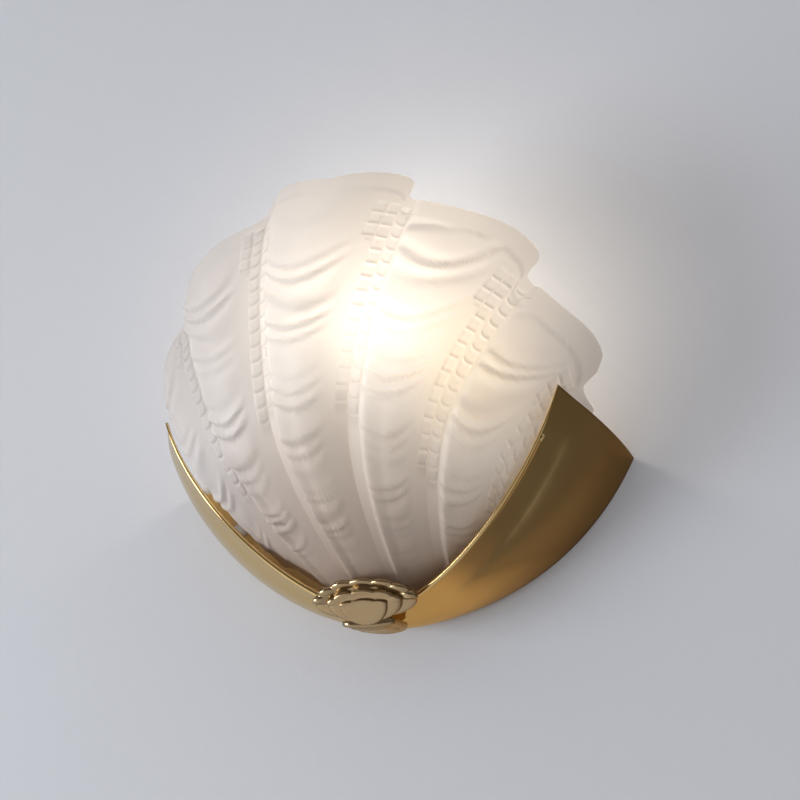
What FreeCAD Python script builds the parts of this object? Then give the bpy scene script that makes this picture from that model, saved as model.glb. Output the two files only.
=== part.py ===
"""Shell wall light: a pressed glass clam-shell bowl standing in a brass cradle on a wall bracket.

Frame: origin on the wall, at the middle of the wall bracket's back face. The wall is the plane y = 0,
the light stands on its -Y side, +X is to the right seen from the room, +Z is up.
Sizes are millimetres, and angles are degrees. "depth" means the distance out from the wall, and "drop"
means the distance below the centre of the circle that the cradle's wall edge lies on.
"""
import FreeCAD, Part
import math
import os
import Sketcher

V = FreeCAD.Vector
doc = FreeCAD.newDocument("shell_wall_light")

# ---------------------------------------------------------------- driving dimensions
SIZES = [
    # the cradle's two cheeks
    ("circle_height", 100),      # centre of the wall edge's circle above the bracket's middle
    ("wall_radius", 167),        # radius of the wall edge
    ("tip_angle", 26),           # how far below level the wall edge ends
    ("cheek_thickness", 1.2),
    ("cheek_bulge", 4.5),        # how far the broad face swells outward
    ("strip_width", 19),         # the front strip, from the crease to the front edge
    ("crease_stand", 3.2),       # how far the crease stands outward of the straight chord
    ("bead_radius", 2.6),        # rolled bead along the front edge, at the bottom
    ("bead_tip_radius", 0.9),    # and at the tip
    ("front_low_depth", 49),     # front edge at the bottom of the cradle
    ("front_low_drop", 162),
    ("front_low_reach", 39.5),   # how far the front edge runs level before it climbs
    ("front_mid_side", 108.5),   # pull point of the climbing part
    ("front_mid_depth", 81),
    ("front_mid_drop", 103.5),
    ("front_tip_side", 129),     # front corner of the cheek's end
    ("front_tip_depth", 80.5),
    ("front_tip_drop", 43.5),
    # the glass bowl
    ("glass_thickness", 4),
    ("bowl_depth", 150),         # how far the valleys of the bowl stand out from the wall
    ("bowl_depth_drop", 47),     # level of that greatest depth
    ("bowl_depth_tail", 40),     # how far below the bowl's base that taper would end
    ("bowl_depth_high", 191),    # half height of the ellipse above it
    ("bowl_half_width", 147.5),
    ("bowl_width_drop", 12),
    ("bowl_width_tail", 14),
    ("bowl_width_high", 167),
    ("fan_drop", 253),           # the seven lobes fan out from a line this far down
    ("side_angle", 34.7),        # fan angle of the bowl's side edges
    ("fan_spread", 0.38),        # how quickly the lobes get narrower towards the sides
    ("rim_opening", 0.085),      # the lobes spread by this share of their fan angle near the rim
    ("crown_height", 88),        # top of the rim above the circle's centre
    ("rim_fall", 0.137),         # fall of the rim per square degree of fan angle
    ("rim_step", 26),            # step of the rim at each valley
    ("base_drop", 158),          # lowest edge of the bowl
    ("base_side_rise", 36),      # how much higher that edge is at the sides
    ("lobe_height", 13),         # how far the middle lobe swells out of its valleys
    ("side_lobe_height", 7.5),   # and the others
    ("glass_back_depth", 40),    # the bowl's ground back edge stands this far from the wall
    ("cradle_gap", 3.2),         # least gap from the glass to the cheeks
    # wall bracket, back plate and their fixings
    ("bracket_length", 116),
    ("bracket_width", 20),
    ("bracket_thickness", 1.5),
    ("slot_spacing", 60),
    ("slot_length", 12),
    ("slot_width", 4.6),
    ("stud_spacing", 90),
    ("stud_radius", 2),
    ("stud_length", 15),
    ("plate_depth", 8),          # the back plate's rear face
    ("plate_thickness", 1.2),
    ("plate_top_drop", 76),
    ("plate_gap", 0.4),
    ("cap_nut_radius", 4),
    ("cap_nut_height", 5),
    ("washer_radius", 4.6),
    ("washer_thickness", 0.8),
    ("hole_clearance", 0.25),
    ("grommet_drop", 132),
    ("grommet_bore", 4.5),
    ("grommet_neck", 7),
    ("grommet_flange", 9.5),
    ("grommet_lip", 1.8),
    # lamp bracket and lamp holder
    ("lamp_depth", 52),          # the bulb's axis out from the wall
    ("shelf_drop", 88),          # top of the lamp bracket's shelf
    ("socket_stand", 12),        # the socket's floor above that
    ("shelf_width", 24),
    ("shelf_thickness", 1.6),
    ("shelf_nose", 13),          # shelf in front of the bulb's axis
    ("leg_height", 24),
    ("leg_screw_spacing", 13),
    ("leg_screw_drop", 103),
    ("leg_screw_radius", 1.5),
    ("leg_screw_length", 7),
    ("nipple_radius", 5),
    ("nipple_bore", 3.6),
    ("nipple_length", 15),
    ("lock_nut_radius", 8),
    ("lock_nut_height", 3.2),
    ("holder_radius", 17),
    ("holder_height", 21),
    ("holder_wall", 2),
    ("sleeve_radius", 18.5),
    ("sleeve_height", 21.5),
    ("socket_bore", 13.4),
    ("socket_wall", 0.5),
    ("socket_length", 30),
    ("contact_radius", 4),
    ("contact_thickness", 0.6),
    # the bulb
    ("cap_radius", 13),
    ("cap_length", 26),
    ("cap_thread_pitch", 3.6),
    ("cap_thread_depth", 0.8),
    ("insulator_height", 3),
    ("tip_radius", 4.5),
    ("tip_height", 2),
    ("collar_height", 34),
    ("collar_foot_radius", 15),
    ("dome_radius", 30),
    ("dome_wall", 1.2),
    ("dome_skirt_angle", 25),
    ("board_radius", 23),
    ("board_thickness", 1.5),
    ("board_gap", 0.3),
    # wiring
    ("block_length", 33),
    ("block_height", 16),
    ("block_depth", 13),
    ("block_side", 44),          # the terminal block's middle, to the right of the axis
    ("block_drop", 127),
    ("terminal_spacing", 11),
    ("terminal_bore", 1.6),
    ("terminal_screw_radius", 1.7),
    ("terminal_screw_length", 4),
    ("wire_radius", 1.2),
    ("earth_side", 44),
    ("earth_drop", 127),
    ("earth_screw_radius", 2),
    ("earth_head_radius", 4),
    ("earth_head_height", 2.4),
    ("earth_screw_length", 6),
    # silicone pads and the boss
    ("pad_radius", 4.5),
    ("pad_gap", 0.35),           # to the glass
    ("pad_seat", 0.12),          # glue under the pad
    ("boss_gap", 7.5),            # from the boss's crown to the bowl's valley surface
    ("boss_rise", 1),            # its centre above the lowest point of the cradle's front edge
    ("boss_lean", 30),           # the boss faces this far below level
    ("boss_half_width", 33),
    ("boss_tier", 3),
    ("foot_half_width", 17),
    ("foot_thickness", 5.5),
    ("foot_back_depth", 24),
    ("boss_stud_radius", 2),
    ("boss_stud_length", 11.5),
    ("boss_stud_depth", 33),
    ("saddle_half_length", 7),
    ("saddle_clearance", 0.7),
]

sheet = doc.addObject("Spreadsheet::Sheet", "dims")
for row, (alias, value) in enumerate(SIZES, start=1):
    sheet.set("A%d" % row, alias)
    sheet.set("B%d" % row, str(value))
    sheet.setAlias("B%d" % row, alias)
doc.recompute()


def size(alias):
    """The number in the sheet's cell with this alias."""
    return float(getattr(sheet, alias))


def bind(obj, **formulas):
    """Bind properties to formulas over the sheet: bare words in a formula are aliases."""
    for prop, formula in formulas.items():
        obj.setExpression(prop.replace("__", "."), in_sheet(formula))


def in_sheet(formula):
    """Write 'dims.' before each alias in a formula."""
    words = {alias for alias, _ in SIZES}
    out = ""
    word = ""
    for letter in formula + " ":
        if letter.isalnum() or letter == "_":
            word += letter
            continue
        out += ("dims." + word if word in words else word) + letter
        word = ""
    return out.strip()


def place(obj, x="0", y="0", z="0", axis=None, angle=0):
    """Turn an object about an axis and bind its place to formulas."""
    if axis is not None:
        obj.Placement = FreeCAD.Placement(V(), FreeCAD.Rotation(axis, angle))
    bind(obj, Placement__Base__x=x, Placement__Base__y=y, Placement__Base__z=z)


SUBPARTS = []


def subpart(obj, label):
    """Name a finished sub-part: its label is its node's name."""
    obj.Label = label
    SUBPARTS.append(obj)
    return obj


# ---------------------------------------------------------------- small building blocks
X_AXIS = V(1, 0, 0)
Z_AXIS = V(0, 0, 1)
OUTWARD = (X_AXIS, 90)    # turns +Z to -Y, out from the wall


def cylinder(name, radius, height, x="0", y="0", z="0", turn=None):
    """A cylinder whose sizes and place are formulas."""
    obj = doc.addObject("Part::Cylinder", name)
    bind(obj, Radius=radius, Height=height)
    place(obj, x, y, z, *(turn or ()))
    return obj


def cone(name, low, high, height, x="0", y="0", z="0", turn=None):
    """A cone or taper whose sizes and place are formulas."""
    obj = doc.addObject("Part::Cone", name)
    bind(obj, Radius1=low, Radius2=high, Height=height)
    place(obj, x, y, z, *(turn or ()))
    return obj


def hexagon(name, radius, height, x="0", y="0", z="0", turn=None):
    """A hexagonal prism, radius to its corners."""
    obj = doc.addObject("Part::Prism", name)
    obj.Polygon = 6
    bind(obj, Circumradius=radius, Height=height)
    place(obj, x, y, z, *(turn or ()))
    return obj


def fuse(name, parts):
    """One solid out of several that overlap or touch."""
    obj = doc.addObject("Part::MultiFuse", name)
    obj.Shapes = parts
    return obj


def group(name, parts):
    """Separate solids kept together as one node."""
    obj = doc.addObject("Part::Compound", name)
    obj.Links = parts
    return obj


def cut(name, base, tool):
    """The base without the tool."""
    obj = doc.addObject("Part::Cut", name)
    obj.Base = base
    obj.Tool = tool
    return obj


def computed(name, shape):
    """A sub-part whose shape follows a formula that no single feature gives."""
    obj = doc.addObject("Part::Feature", name)
    obj.Shape = shape
    return obj


def origin_plane(body, role):
    """One of a body's own origin planes."""
    for feature in body.Origin.OriginFeatures:
        if feature.Role == role:
            return feature
    raise ValueError(role)


def sketch_on(body, name, role):
    """A sketch on one of the body's origin planes."""
    sketch = body.newObject("Sketcher::SketchObject", name)
    sketch.AttachmentSupport = [(origin_plane(body, role), "")]
    sketch.MapMode = "FlatFace"
    return sketch


def add_rectangle(sketch, width, height, centre_y=None):
    """A rectangle centred on the sketch's upright axis, its sizes bound to formulas."""
    corners = [V(-5, -5, 0), V(5, -5, 0), V(5, 5, 0), V(-5, 5, 0)]
    first = sketch.GeometryCount
    for i in range(4):
        sketch.addGeometry(Part.LineSegment(corners[i], corners[(i + 1) % 4]))
    for i in range(4):
        sketch.addConstraint(Sketcher.Constraint("Coincident", first + i, 2, first + (i + 1) % 4, 1))
    sketch.addConstraint(Sketcher.Constraint("Horizontal", first + 2))
    sketch.addConstraint(Sketcher.Constraint("Vertical", first + 1))
    sketch.addConstraint(Sketcher.Constraint("Vertical", first + 3))
    sketch.addConstraint(Sketcher.Constraint("Symmetric", first, 1, first, 2, -2))
    named_size(sketch, Sketcher.Constraint("Distance", first, 10.0), width)
    named_size(sketch, Sketcher.Constraint("Distance", first + 1, 10.0), height)
    named_size(sketch, Sketcher.Constraint("DistanceY", first, 1, -1, 1, 5.0), centre_y or height + " / 2")


def add_circle(sketch, radius, x=None, y=None):
    """A circle, its radius and centre bound to formulas, or centred on an axis without them."""
    index = sketch.addGeometry(Part.Circle(V(3, 3, 0), Z_AXIS, 1))
    named_size(sketch, Sketcher.Constraint("Radius", index, 1.0), radius)
    if x:
        named_size(sketch, Sketcher.Constraint("DistanceX", -1, 1, index, 3, 3.0), x)
    else:
        sketch.addConstraint(Sketcher.Constraint("PointOnObject", index, 3, -2))
    if y:
        named_size(sketch, Sketcher.Constraint("DistanceY", -1, 1, index, 3, 3.0), y)
    else:
        sketch.addConstraint(Sketcher.Constraint("PointOnObject", index, 3, -1))


def named_size(sketch, constraint, formula):
    """Add a sizing constraint and bind it to a formula."""
    index = sketch.addConstraint(constraint)
    name = "size_%d" % index
    sketch.renameConstraint(index, name)
    sketch.setExpression("Constraints." + name, in_sheet(formula))


def pad(body, sketch, length, name, reverse=False):
    """Pad a sketch by a length formula."""
    feature = body.newObject("PartDesign::Pad", name)
    feature.Profile = sketch
    feature.Reversed = reverse
    bind(feature, Length=length)
    sketch.Visibility = False
    return feature


def pocket_through(body, sketch, name):
    """Cut a sketch through the whole solid, both ways."""
    before = body.Shape.Volume
    feature = body.newObject("PartDesign::Pocket", name)
    feature.Profile = sketch
    feature.Type = "ThroughAll"
    feature.Midplane = True
    doc.recompute()
    if body.Shape.Volume >= before:
        raise ValueError(name + " cuts nothing")
    return feature


def new_body(name):
    """An empty PartDesign body."""
    return doc.addObject("PartDesign::Body", name)


# ---------------------------------------------------------------- the cradle's surface
def bezier(points, t):
    """A point of the Bezier curve over any number of control points."""
    points = list(points)
    while len(points) > 1:
        points = [a + (b - a) * t for a, b in zip(points, points[1:])]
    return points[0]


def wall_edge(s):
    """Wall edge of the right cheek: s runs from the bottom, 0, to the tip, 1."""
    angle = math.radians(-90 + (90 - size("tip_angle")) * s)
    radius = size("wall_radius")
    return V(radius * math.cos(angle), 0, radius * math.sin(angle))


def front_edge(s):
    """Front edge of the right cheek, one cubic curve from the bottom to the tip."""
    low = V(0, -size("front_low_depth"), -size("front_low_drop"))
    return bezier(
        [
            low,
            low + V(size("front_low_reach"), 0, 0),
            V(size("front_mid_side"), -size("front_mid_depth"), -size("front_mid_drop")),
            V(size("front_tip_side"), -size("front_tip_depth"), -size("front_tip_drop")),
        ],
        s,
    )


def cheek_normal(s):
    """Outward direction of the cheek at s, square to its chord."""
    step = 1e-3
    low = max(s - step, 0)
    high = min(s + step, 1)
    along = (wall_edge(high) + front_edge(high)) - (wall_edge(low) + front_edge(low))
    chord = front_edge(s) - wall_edge(s)
    if s == 0:
        along = X_AXIS
    normal = along.cross(chord)
    normal.normalize()
    return normal if normal.z < 0 else normal * -1


def cheek_section(s, inset):
    """Section points of the cheek at s, moved inward by inset: wall, middle, crease, front."""
    wall = wall_edge(s)
    front = front_edge(s)
    normal = cheek_normal(s)
    chord = front - wall
    crease = front - chord * (size("strip_width") / chord.Length) + normal * size("crease_stand")
    middle = (wall + crease) * 0.5 + normal * size("cheek_bulge")
    foot = wall - normal * inset
    foot = foot - chord * (foot.y / chord.y)
    return (foot, middle - normal * inset, crease - normal * inset, front - normal * inset)


def cheek_point(s, t, inset):
    """Point of the broad face at s, t from the wall edge, 0, to the crease, 1."""
    wall, middle, crease, _ = cheek_section(s, inset)
    arc = Part.Arc(wall, middle, crease)
    return arc.value(arc.FirstParameter + (arc.LastParameter - arc.FirstParameter) * t)


def strip_point(s, t, inset):
    """Point of the front strip at s, t from the crease, 0, to the front edge, 1."""
    _, _, crease, front = cheek_section(s, inset)
    return crease + (front - crease) * t


def cheek_wire(s):
    """Closed section of the sheet metal at s."""
    thickness = size("cheek_thickness")
    wall, middle, crease, front = cheek_section(s, 0)
    wall_in, middle_in, crease_in, front_in = cheek_section(s, thickness)
    out = cheek_normal(s)
    forward = front - crease
    forward.normalize()
    # the front edge is rolled outward into a round bead, thinner towards the tip
    bead = size("bead_radius") + (size("bead_tip_radius") - size("bead_radius")) * s
    out = (out - forward * out.dot(forward)).normalize()
    centre = front + out * (bead - thickness) - forward * bead
    start = centre - out * (bead - thickness) - forward * math.sqrt(bead ** 2 - (bead - thickness) ** 2)
    top = centre + forward * bead
    under = centre - out * bead
    half = math.sqrt(0.5) * bead
    return Part.Wire([
        Part.Arc(wall, middle, crease).toShape(),
        Part.LineSegment(crease, start).toShape(),
        Part.Arc(start, centre + out * bead, top).toShape(),
        Part.Arc(top, centre + forward * half - out * half, under).toShape(),
        Part.LineSegment(under, crease_in).toShape(),
        Part.Arc(crease_in, middle_in, wall_in).toShape(),
        Part.LineSegment(wall_in, wall).toShape(),
    ])


CHEEK_SECTIONS = 13


def lift():
    """Move from the circle's centre to the part's origin at the bracket."""
    return FreeCAD.Placement(V(0, 0, size("circle_height")), FreeCAD.Rotation())


def make_cheeks():
    """The two pressed brass cheeks, mirror images that meet under the boss."""
    wires = [cheek_wire(i / (CHEEK_SECTIONS - 1)) for i in range(CHEEK_SECTIONS)]
    sheet_metal = Part.makeLoft(wires, True, False)
    right = computed("right_cheek", sheet_metal.cut(stud_blank(size("boss_stud_radius") + 0.2)))
    right.Placement = lift()
    subpart(right, "right_cheek")
    left = doc.addObject("Part::Mirroring", "left_cheek")
    left.Source = right
    left.Normal = X_AXIS
    subpart(left, "left_cheek")
    return right


# ---------------------------------------------------------------- the glass bowl's surface
LOBES = 7
SIDE = LOBES / 2              # lobe coordinate of the side edges: valleys lie at the halves
DEPTH_TAPER = (2.2, 1.67)     # exponents of the egg's lower half, seen from the side
WIDTH_TAPER = (1.8, 0.8)      # and seen from the front
SIDE_SHARE = 0.94             # share of the plan's half width that the ribs reach unchanged
SIDE_LIMIT = 0.992            # and the share they never pass
SIDE_BOW = 0.05               # the side ribs bow outward by this share of their fan angle
LOBE_POWER = 1.1              # crest rounding of a lobe
LOBE_GROWTH = 0.55            # a lobe reaches its full height this far up its rib
CRADLED_SHARE = 0.2           # height of the outermost lobes inside the cradle
PUSH_SOFTNESS = 0.5           # the push-in by the cradle starts this softly
PUSH_CLEAR = 2                # it is whole up to this far past the front edge
PUSH_FADE = 14                # and fades out over this distance


def egg(drop, reach, widest, low, high, taper):
    """Reach of an egg outline at a drop below the circle's centre."""
    if drop > widest:
        inner = max(1 - ((drop - widest) / low) ** taper[0], 1e-6)
        return reach * inner ** taper[1]
    return reach * math.sqrt(max(1 - ((widest - drop) / high) ** 2, 0))


def bowl_radii(drop):
    """Half width and depth of the bowl's plan at a drop."""
    width_low = size("base_drop") - size("bowl_width_drop") + size("bowl_width_tail")
    depth_low = size("base_drop") - size("bowl_depth_drop") + size("bowl_depth_tail")
    width = egg(drop, size("bowl_half_width"), size("bowl_width_drop"),
                width_low, size("bowl_width_high"), WIDTH_TAPER)
    depth = egg(drop, size("bowl_depth"), size("bowl_depth_drop"),
                depth_low, size("bowl_depth_high"), DEPTH_TAPER)
    return width, depth


def smooth(x):
    """Smooth step from 0 to 1."""
    x = min(max(x, 0), 1)
    return x * x * (3 - 2 * x)


def soft_limit(share):
    """A share kept below 1: unchanged up to SIDE_SHARE, then bent smoothly towards the limit."""
    if share < SIDE_SHARE:
        return share
    room = SIDE_LIMIT - SIDE_SHARE
    return SIDE_SHARE + room * math.tanh((share - SIDE_SHARE) / room)


def lobe_place(u):
    """Place across a lobe, from -0.5 to 0.5."""
    return u - math.floor(u + 0.5)


def bowl_point(u, v, stepped=True):
    """Valley surface: u counts lobes from the middle, v runs from the base, 0, to the rim, 1."""
    spread = size("fan_spread")
    fan = size("side_angle") * math.tanh(spread * u) / math.tanh(spread * SIDE)
    top = size("crown_height") - size("rim_fall") * fan * fan
    if stepped:
        across = lobe_place(u)
        top += size("rim_step") * across * math.copysign(1, u) * abs(math.cos(math.pi * across)) ** 0.25
    bottom = -size("base_drop") + size("base_side_rise") * (fan / size("side_angle")) ** 4
    z = bottom + (top - bottom) * v
    bowed = fan * (1 + SIDE_BOW * (u / SIDE) ** 4 * math.sin(math.pi * v))
    bowed += fan * size("rim_opening") * smooth((v - 0.45) / 0.55)
    x = (z + size("fan_drop")) * math.tan(math.radians(bowed))
    width, depth = bowl_radii(-z)
    across = soft_limit(abs(x) / width)
    return V(math.copysign(width * across, x), -depth * math.sqrt(1 - across * across), z)


def bowl_normal(u, v):
    """Outward direction of the valley surface, level where the bowl leans inward."""
    step = 1e-3
    across = bowl_point(u + step, v, False) - bowl_point(u - step, v, False)
    up = bowl_point(u, min(v + step, 1), False) - bowl_point(u, max(v - step, 0), False)
    normal = across.cross(up)
    normal.z = min(normal.z, 0)
    normal.normalize()
    return normal


def lobe(u, v):
    """Height of the lobes over the valleys, as a share of the full height."""
    crest = abs(math.cos(math.pi * lobe_place(u))) ** LOBE_POWER
    outer = min(max((abs(u) - 2.3) / 0.4, 0), 1)
    freed = min(max((v - 0.66) / 0.3, 0), 1)
    share = 1 - outer * (1 - CRADLED_SHARE - (1 - CRADLED_SHARE) * freed)
    return crest * smooth(v / LOBE_GROWTH) * share


def cradle_samples():
    """Points of the right cheek's inner face, each with its normal and its way past the front edge."""
    samples = []
    inset = size("cheek_thickness")
    for i in range(25):
        s = i / 24
        normal = cheek_normal(s)
        for t in (0.15, 0.3, 0.45, 0.6, 0.75, 0.9):
            samples.append((cheek_point(s, t, inset), normal, None))
        for t in (0.0, 0.5, 1.0):
            past = front_edge(s) - wall_edge(s)
            past.normalize()
            samples.append((strip_point(s, t, inset), normal, past if t == 1.0 else None))
    return samples


def push_in(point, samples):
    """How far a point of the glass has to move inward to keep the cradle's gap."""
    mirrored = V(abs(point.x), point.y, point.z)
    near, normal, past = min(samples, key=lambda sample: (mirrored - sample[0]).Length)
    offset = mirrored - near
    need = size("cradle_gap") + offset.dot(normal)
    beyond = offset.dot(past) if past else 0
    soft = PUSH_SOFTNESS * math.log1p(math.exp(min(need / PUSH_SOFTNESS, 30)))
    return soft * (1 - smooth((beyond - PUSH_CLEAR) / PUSH_FADE))


def glass_column(u, vs, inset, samples):
    """Points up the glass at u, inset from its outer face."""
    points = []
    for v in vs:
        normal = bowl_normal(u, v)
        height = size("lobe_height") if abs(u) < 0.5 else size("side_lobe_height")
        outer = bowl_point(u, v) + normal * (height * lobe(u, v))
        points.append(outer - normal * (inset + push_in(outer, samples)))
    return points


def surface_through(rows):
    """A smooth surface through rows of points."""
    surface = Part.BSplineSurface()
    surface.interpolate(rows)
    return surface


def closed_shell(outer, inner):
    """A solid between two surfaces with matching edges."""
    faces = [outer.toShape(), inner.toShape()]
    for outer_edge, inner_edge in zip(border(outer), border(inner)):
        faces.append(Part.makeRuledSurface(outer_edge, inner_edge))
    shell = Part.makeShell(faces)
    shell.sewShape()
    solid = Part.Solid(shell)
    if solid.Volume < 0:
        solid.reverse()
    return solid


def border(surface):
    """The four edge curves of a surface."""
    u0, u1, v0, v1 = surface.bounds()
    curves = [surface.uIso(u0), surface.uIso(u1), surface.vIso(v0), surface.vIso(v1)]
    return [curve.toShape() for curve in curves]


STEPS_PER_LOBE = 8
ROWS_UP = 15


def make_glass():
    """The pressed glass bowl: seven lobes, open at the top and towards the wall."""
    columns = LOBES * STEPS_PER_LOBE
    samples = cradle_samples()
    us = [-SIDE + LOBES * i / columns for i in range(columns + 1)]
    vs = [j / (ROWS_UP - 1) for j in range(ROWS_UP)]
    faces = []
    for inset in (0, size("glass_thickness")):
        faces.append(surface_through([glass_column(u, vs, inset, samples) for u in us]))
    span = 2 * size("wall_radius") + 2 * size("bowl_half_width")
    behind = Part.makeBox(span, span, span, V(-span / 2, -size("glass_back_depth"), -span / 2))
    bowl = closed_shell(*faces).cut(behind)
    glass = computed("glass_shade", max(bowl.Solids, key=lambda solid: solid.Volume))
    glass.Placement = lift()
    return subpart(glass, "glass_shade")


# ---------------------------------------------------------------- pads and plate
PAD_PLACES = [(0.12, 0.45), (0.6, 0.5)]   # s along the cheek, t across its front strip


def strip_normal(s, t):
    """Outward normal of the front strip."""
    inset = size("cheek_thickness")
    along = strip_point(s + 0.01, t, inset) - strip_point(s - 0.01, t, inset)
    across = strip_point(s, 1, inset) - strip_point(s, 0, inset)
    normal = along.cross(across)
    normal.normalize()
    return normal if normal.dot(cheek_normal(s)) > 0 else normal * -1


def pad_ring(foot, axis):
    """The pad's centre and eight points of its rim."""
    side = axis.cross(Z_AXIS)
    side.normalize()
    other = axis.cross(side)
    ring = [foot]
    for i in range(8):
        turn = math.radians(45 * i)
        ring.append(foot + (side * math.cos(turn) + other * math.sin(turn)) * size("pad_radius"))
    return ring


def distance_along(axis, start, shape):
    """Distance from a point along an axis to a shape's first face."""
    reach = size("glass_back_depth")
    hits = shape.common(Part.makeLine(start, start + axis * reach))
    if not hits.Vertexes:
        return reach
    return min((vertex.Point - start).Length for vertex in hits.Vertexes)


def make_pads(glass):
    """Silicone pads stuck inside the cheeks, each as long as the gap to the glass."""
    pads = []
    bowl = glass.Shape
    for s, t in PAD_PLACES:
        foot = strip_point(s, t, size("cheek_thickness")) + lift().Base
        axis = strip_normal(s, t) * -1
        gap = min(distance_along(axis, start, bowl) for start in pad_ring(foot, axis))
        length = gap - size("pad_gap") - size("pad_seat") - 0.2
        print("pad at s %.2f: gap to the glass %.2f mm, pad %.2f mm" % (s, gap, length))
        pad_shape = Part.makeCylinder(size("pad_radius"), length, foot + axis * size("pad_seat"), axis)
        pads.append(pad_shape)
        pads.append(pad_shape.mirror(V(), X_AXIS))
    return subpart(computed("glass_pads", Part.makeCompound(pads)), "glass_pads")


PLATE_POINTS = 19


def plate_outline():
    """Closed outline of the back plate: the cradle's inside at the plate's depth, and a straight top."""
    right = []
    depth = size("plate_depth")
    reach = size("cheek_thickness") + size("plate_gap")
    for i in range(PLATE_POINTS):
        s = i / (PLATE_POINTS - 1)
        low, high = 0.0, 0.6
        for _ in range(30):
            middle = (low + high) / 2
            if -cheek_point(s, middle, reach).y < depth + size("plate_thickness"):
                low = middle
            else:
                high = middle
        point = cheek_point(s, low, reach)
        if -point.z > size("plate_top_drop"):
            right.append(V(point.x, -depth, point.z))
    top = -size("plate_top_drop")
    last = right[-1]
    before = right[-2]
    share = (top - last.z) / (last.z - before.z)
    right.append(V(last.x + (last.x - before.x) * share, -depth, top))
    left = [V(-p.x, p.y, p.z) for p in reversed(right[1:])]
    curve = Part.BSplineCurve()
    curve.interpolate(left + right)
    return Part.Wire([curve.toShape(), Part.LineSegment(right[-1], left[0]).toShape()])


def make_back_plate():
    """Plated steel back plate with its holes, soldered to the cheeks along its edge."""
    blank = computed("plate_blank", Part.Face(plate_outline()).extrude(V(0, -size("plate_thickness"), 0)))
    blank.Placement = lift()
    tools = []
    for side in ("", "-"):
        tools.append(cylinder("plate_stud_hole", "stud_radius + hole_clearance", "3 * plate_depth",
                              side + "stud_spacing / 2", "0", "0", OUTWARD))
        tools.append(cylinder("plate_leg_hole", "leg_screw_radius + hole_clearance", "3 * plate_depth",
                              side + "leg_screw_spacing / 2", "0", "circle_height - leg_screw_drop", OUTWARD))
    tools.append(cylinder("plate_cable_hole", "grommet_neck + hole_clearance", "3 * plate_depth",
                          "0", "0", "circle_height - grommet_drop", OUTWARD))
    tools.append(cylinder("plate_earth_hole", "earth_screw_radius + hole_clearance", "3 * plate_depth",
                          "-earth_side", "0", "circle_height - earth_drop", OUTWARD))
    tools.append(cylinder("plate_block_hole", "terminal_screw_radius + hole_clearance", "3 * plate_depth",
                          "block_side + terminal_spacing / 2", "0", "circle_height - block_drop", OUTWARD))
    return subpart(cut("back_plate", blank, fuse("plate_holes", tools)), "back_plate")


def make_grommet():
    """Rubber grommet in the cable hole: two flanges and a neck with the cable's bore."""
    z = "circle_height - grommet_drop"
    body = [
        cylinder("grommet_back", "grommet_flange", "grommet_lip", "0", "-plate_depth + grommet_lip + 0.15",
                 z, OUTWARD),
        cylinder("grommet_middle", "grommet_neck", "plate_thickness + 2 * grommet_lip", "0",
                 "-plate_depth + grommet_lip", z, OUTWARD),
        cylinder("grommet_front", "grommet_flange", "grommet_lip", "0",
                 "-plate_depth - plate_thickness - 0.15", z, OUTWARD),
    ]
    bore = cylinder("grommet_hole", "grommet_bore", "4 * plate_depth", "0", "0", z, OUTWARD)
    return subpart(cut("cable_grommet", fuse("grommet_body", body), bore), "cable_grommet")


# ---------------------------------------------------------------- wall bracket and its fixings
def make_wall_bracket():
    """Flat steel bar screwed to the wall through two slots, with a tapped hole at each end."""
    body = new_body("wall_bracket")
    outline = sketch_on(body, "bracket_outline", "XZ_Plane")
    add_rectangle(outline, "bracket_length", "bracket_width")
    pad(body, outline, "bracket_thickness", "bracket_bar", False)
    doc.recompute()
    for name, side in (("right", ""), ("left", "-")):
        slot = sketch_on(body, "slot_" + name, "XZ_Plane")
        add_slot(slot, side + "slot_spacing / 2")
        pocket_through(body, slot, "cut_slot_" + name)
        hole = sketch_on(body, "stud_hole_" + name, "XZ_Plane")
        add_circle(hole, "stud_radius + hole_clearance / 5", side + "stud_spacing / 2")
        pocket_through(body, hole, "cut_hole_" + name)
    if body.Shape.BoundBox.YMax > 0.01:
        raise ValueError("the wall bracket lies behind the wall")
    return subpart(body, "wall_bracket")


def add_slot(sketch, x):
    """A slot along X about (x, 0): two half circles and two lines."""
    half = (size("slot_length") - size("slot_width")) / 2
    radius = size("slot_width") / 2
    middle = (-1 if x.startswith("-") else 1) * size("slot_spacing") / 2
    ends = [V(middle - half, 0, 0), V(middle + half, 0, 0)]
    quarter = math.pi / 2
    left = sketch.addGeometry(Part.ArcOfCircle(Part.Circle(ends[0], Z_AXIS, radius), quarter, 3 * quarter))
    right = sketch.addGeometry(Part.ArcOfCircle(Part.Circle(ends[1], Z_AXIS, radius), -quarter, quarter))
    top = sketch.addGeometry(Part.LineSegment(ends[0] + V(0, radius, 0), ends[1] + V(0, radius, 0)))
    low = sketch.addGeometry(Part.LineSegment(ends[0] - V(0, radius, 0), ends[1] - V(0, radius, 0)))
    for line, left_end, right_end in ((top, 1, 2), (low, 2, 1)):
        sketch.addConstraint(Sketcher.Constraint("Tangent", line, 1, left, left_end))
        sketch.addConstraint(Sketcher.Constraint("Tangent", line, 2, right, right_end))
    sketch.addConstraint(Sketcher.Constraint("PointOnObject", left, 3, -1))
    sketch.addConstraint(Sketcher.Constraint("PointOnObject", right, 3, -1))
    sketch.addConstraint(Sketcher.Constraint("Equal", left, right))
    named_size(sketch, Sketcher.Constraint("Radius", left, radius), "slot_width / 2")
    named_size(sketch, Sketcher.Constraint("DistanceX", -1, 1, left, 3, ends[0].x),
               x + " - (slot_length - slot_width) / 2")
    named_size(sketch, Sketcher.Constraint("DistanceX", -1, 1, right, 3, ends[1].x),
               x + " + (slot_length - slot_width) / 2")


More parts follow.
